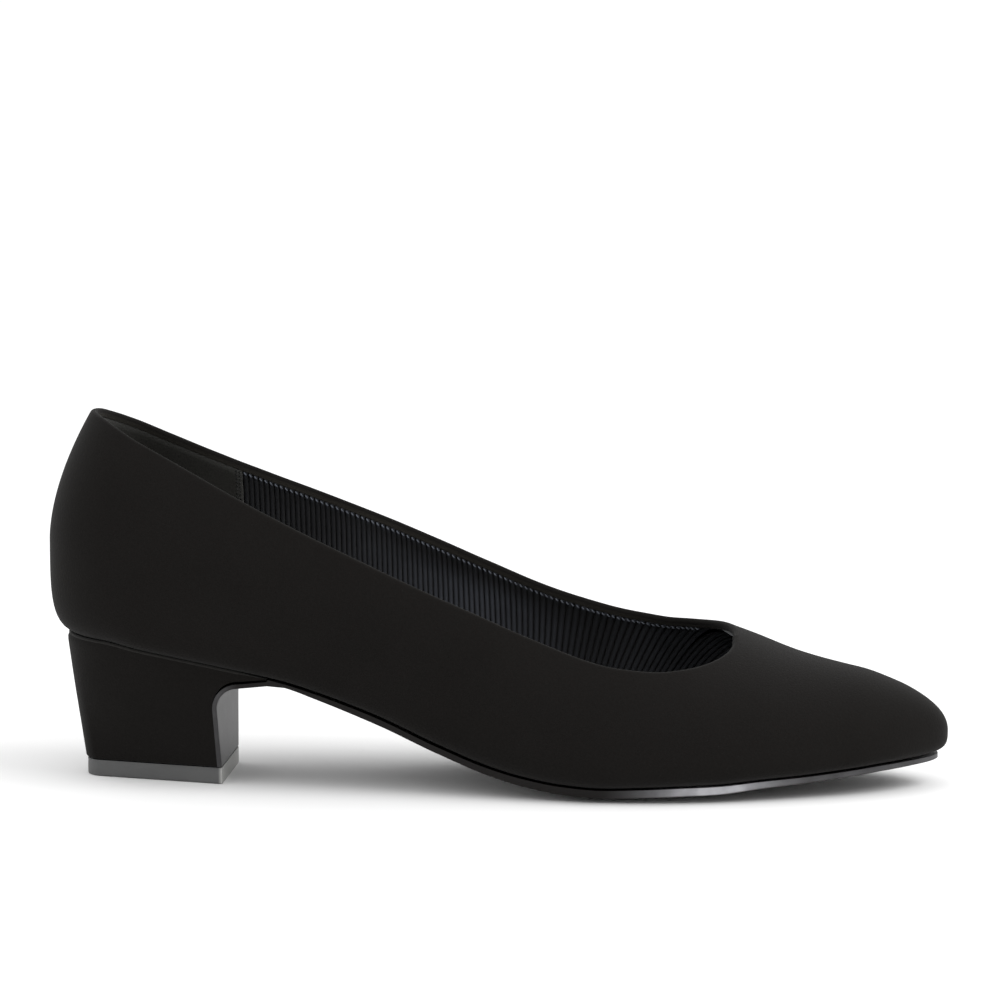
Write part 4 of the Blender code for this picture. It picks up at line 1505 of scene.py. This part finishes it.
    def sole(self, stations: Array, finish: Smooth) -> bpy.types.Object:
        """Sole from the toe back to the waist, then down the heel breast as a flap.

        Args:
            stations: rows along the last.
            finish: of its rubber.

        Returns:
            The new object.
        """
        last, sizes, tones = self.last, self.sizes, self.tones
        ahead = stations[stations * last.length > sizes.wing_end + sizes.wing_bend][::-1]
        inset = last.feather_inset(ahead)
        edges = [np.stack([*last.outline(ahead, side, inset), 0 * ahead], -1) for side in Side]
        top = across(*edges, self.columns)
        top[..., 2] = last.bottom(top[..., 0], top[..., 1]) - last.gap
        under = top.copy()
        under[..., 2] -= last.sole * smooth(PROFILES, "sole", top[..., 0] / last.length)
        line, out = self.breast()
        line, out = line[::-1], out[::-1]
        y = self.breast_half(line[:, 1])[:, None] * np.linspace(-1, 1, self.columns)[None]
        flaps = []
        for depth in (sizes.flap_gap, last.gap + sizes.flap):
            place = line + out * depth
            flaps.append(np.stack([place[:, :1] + 0 * y, y, place[:, 1:] + 0 * y], -1))
        t = sizes.wing_close / (under[-1:, :, :1] - flaps[1][:1, :, :1])
        closed_under = flaps[1][:1] * (1 - t) + under[-1:] * t
        closed_top = closed_under.copy()
        closed_top[..., 2] = last.bottom(closed_top[..., 0], closed_top[..., 1]) - last.gap
        top = np.concatenate([top, closed_top, flaps[0]])
        under = np.concatenate([under, closed_under, flaps[1]])
        under[..., 2] = np.maximum(under[..., 2], 0.0)
        body = Body()
        x = under[..., 0]
        # painted highlight along the sole's front edge, brightest on the ball's front
        front = tones.front * np.clip((x - tones.front_start) / tones.front_run, 0, 1)
        front = front + tones.peak * bell(x - tones.peak_at, tones.peak_reach)
        flap = tones.flap * np.clip((sizes.wing_end - tones.flap_end - x) / tones.flap_run, 0, 1)
        rounded_slab(body, top, under, sizes.edge_round, self.sole_steps, flap, front)
        piece = body.piece("sole_rubber", finish.material(), last.origin)
        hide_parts("outsole")
        return piece


@dataclass
class Studio:
    """Floor, light and camera."""

    distance: float = 1.45
    yaw: float = math.radians(4.7)
    elevation: float = math.radians(8.3)
    focal: float = 5307.0  # pixels
    target: tuple[float, float, float] = (0.0007, 0.0017, 0.04825)
    target_row: float = 603.0  # pixels, where the target shows
    sensor: float = 36.0
    floor_size: float = 60.0
    floor_white: float = 0.9
    floor_roughness: float = 0.9
    sky: float = 1.15
    key_place: tuple[float, float, float] = (1.2, -0.5, 1.3)
    key_aim: tuple[float, float, float] = (0.0, 0.0, 0.03)
    key_size: float = 1.2
    key_power: float = 16.0

    def camera(self) -> None:
        """Camera turned up from its target so far that the target shows on its row."""
        data = bpy.data.cameras.new("camera")
        data.sensor_width = self.sensor
        data.lens = self.focal * self.sensor / IMAGE
        camera = bpy.data.objects.new("camera", data)
        flat = math.cos(self.elevation)
        away = (math.sin(self.yaw) * flat, -math.cos(self.yaw) * flat, math.sin(self.elevation))
        camera.location = np.array(self.target) + self.distance * np.array(away)
        turned = math.atan((self.target_row - IMAGE / 2) / self.focal)
        camera.rotation_euler = (math.pi / 2 - self.elevation + turned, 0.0, self.yaw)
        bpy.context.collection.objects.link(camera)
        bpy.context.scene.camera = camera

    def floor(self) -> None:
        """Plain pale floor."""
        half = self.floor_size / 2
        corners = np.array([[[-half, -half, 0], [half, -half, 0]], [[-half, half, 0], [half, half, 0]]])
        mesh = bpy.data.meshes.new("floor")
        mesh.from_pydata(corners.reshape(-1, 3), [], [(0, 1, 3, 2)])
        shader = Shader("floor")
        shader.fix(Roughness=self.floor_roughness, Specular_IOR_Level=0.0)
        shader.surface.inputs["Base Color"].default_value = (*[self.floor_white] * 3, 1)
        mesh.materials.append(shader.material)
        floor = bpy.data.objects.new("floor", mesh)
        bpy.context.collection.objects.link(floor)

    def key(self) -> None:
        """Square soft light aimed at the shoe."""
        data = bpy.data.lights.new("key", "AREA")
        data.shape, data.size, data.energy = "SQUARE", self.key_size, self.key_power
        lamp = bpy.data.objects.new("key", data)
        way = np.array(self.key_aim) - np.array(self.key_place)
        flat = math.hypot(way[0], way[1])
        lamp.location = self.key_place
        lamp.rotation_euler = (math.atan2(flat, -way[2]), 0.0, math.atan2(-way[0], way[1]))
        bpy.context.collection.objects.link(lamp)

    def light(self) -> None:
        """White surroundings and the soft light."""
        world = bpy.data.worlds.new("studio")
        world.use_nodes = True
        sky = world.node_tree.nodes["Background"]
        sky.inputs["Color"].default_value = (1, 1, 1, 1)
        sky.inputs["Strength"].default_value = self.sky
        bpy.context.scene.world = world
        self.key()
        bpy.context.scene.view_settings.view_transform = "Standard"


# tint: painted highlight on the inside of the facing's roll
NUBUCK = Napped(
    name="nubuck", low=(0.0028, 0.0024, 0.0021), high=(0.0094, 0.0084, 0.0077), sheen=0.04,
    fibres=1500.0, specular=0.08, tint=(0.036, 0.033, 0.028),
)
# turned nubuck edge, coloured lighter than the nubuck as a painted sheen along it
FOLD_SHEEN = Napped(
    name="nubuck_fold_sheen", low=(0.0030, 0.0028, 0.0025), high=(0.0220, 0.0210, 0.0190), sheen=0.08,
    fibres=1100.0,
)
# tint: painted sheen along the heel lining's top and front edges
SUEDE = Napped(
    name="suede_lining", low=(0.0155, 0.015, 0.013), high=(0.036, 0.035, 0.031), sheen=0.2,
    fibres=1800.0, tint=(0.100, 0.100, 0.094),
)
# tint: painted bluish sheen on the pleats' crests
SATIN = Smooth(
    name="satin_lining", low=(0.004, 0.0038, 0.0036), high=(0.008, 0.0078, 0.0076), roughness=0.45,
    specular=0.4, tint=(0.085, 0.092, 0.110),
)
# light blue-grey thread, whose lightness also paints the highlight arcs on the pleats' tops
THREAD_AND_SHEEN = Smooth(
    name="thread", low=(0.070, 0.078, 0.095), high=(0.110, 0.120, 0.145), roughness=0.6
)
DARK_THREAD = Smooth(
    name="dark_thread", low=(0.004, 0.004, 0.004), high=(0.007, 0.007, 0.007), roughness=0.6
)
SOCK_LEATHER = Smooth(
    name="sock_leather", low=(0.018, 0.018, 0.017), high=(0.03, 0.03, 0.028), roughness=0.6
)
# tint: painted highlight along the front edge; also the flap's lighter grey
SOLE_RUBBER = Smooth(
    name="sole_rubber", low=(0.004, 0.0033, 0.0030), high=(0.009, 0.0075, 0.0070), roughness=0.42,
    specular=0.14, clouds=180.0, tint=(0.42, 0.42, 0.44),
)
# tint: painted highlight on the lift's front face
LIFT_RUBBER = Smooth(
    name="lift_rubber", low=(0.065, 0.066, 0.066), high=(0.095, 0.096, 0.096), roughness=0.6,
    specular=0.35, tint=(0.34, 0.34, 0.33),
)


def main() -> None:
    """Builds the pump and the studio round it."""
    logging.basicConfig(level=logging.INFO, format="%(name)s: %(message)s")
    last, wall = Last(), Wall()
    skin = Skin(last)
    upper = Upper(skin, wall)
    upper.build(NUBUCK)
    linings = Linings(skin, wall)
    linings.heel(SUEDE)
    for side in Side:
        linings.pleated(side, SATIN)
    Seams(skin, linings).build(THREAD_AND_SHEEN, DARK_THREAD)
    Sock(skin, wall).build(SOCK_LEATHER)
    heel = Heel(last)
    heel.cover(NUBUCK)
    heel.fold(FOLD_SHEEN)
    heel.lift(LIFT_RUBBER)
    heel.sole(upper.stations()[0], SOLE_RUBBER)
    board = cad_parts["insole"]
    board.data.materials.clear()
    board.data.materials.append(SOCK_LEATHER.material())
    studio = Studio()
    studio.floor()
    studio.light()
    studio.camera()


if __name__ == "__main__":
    main()
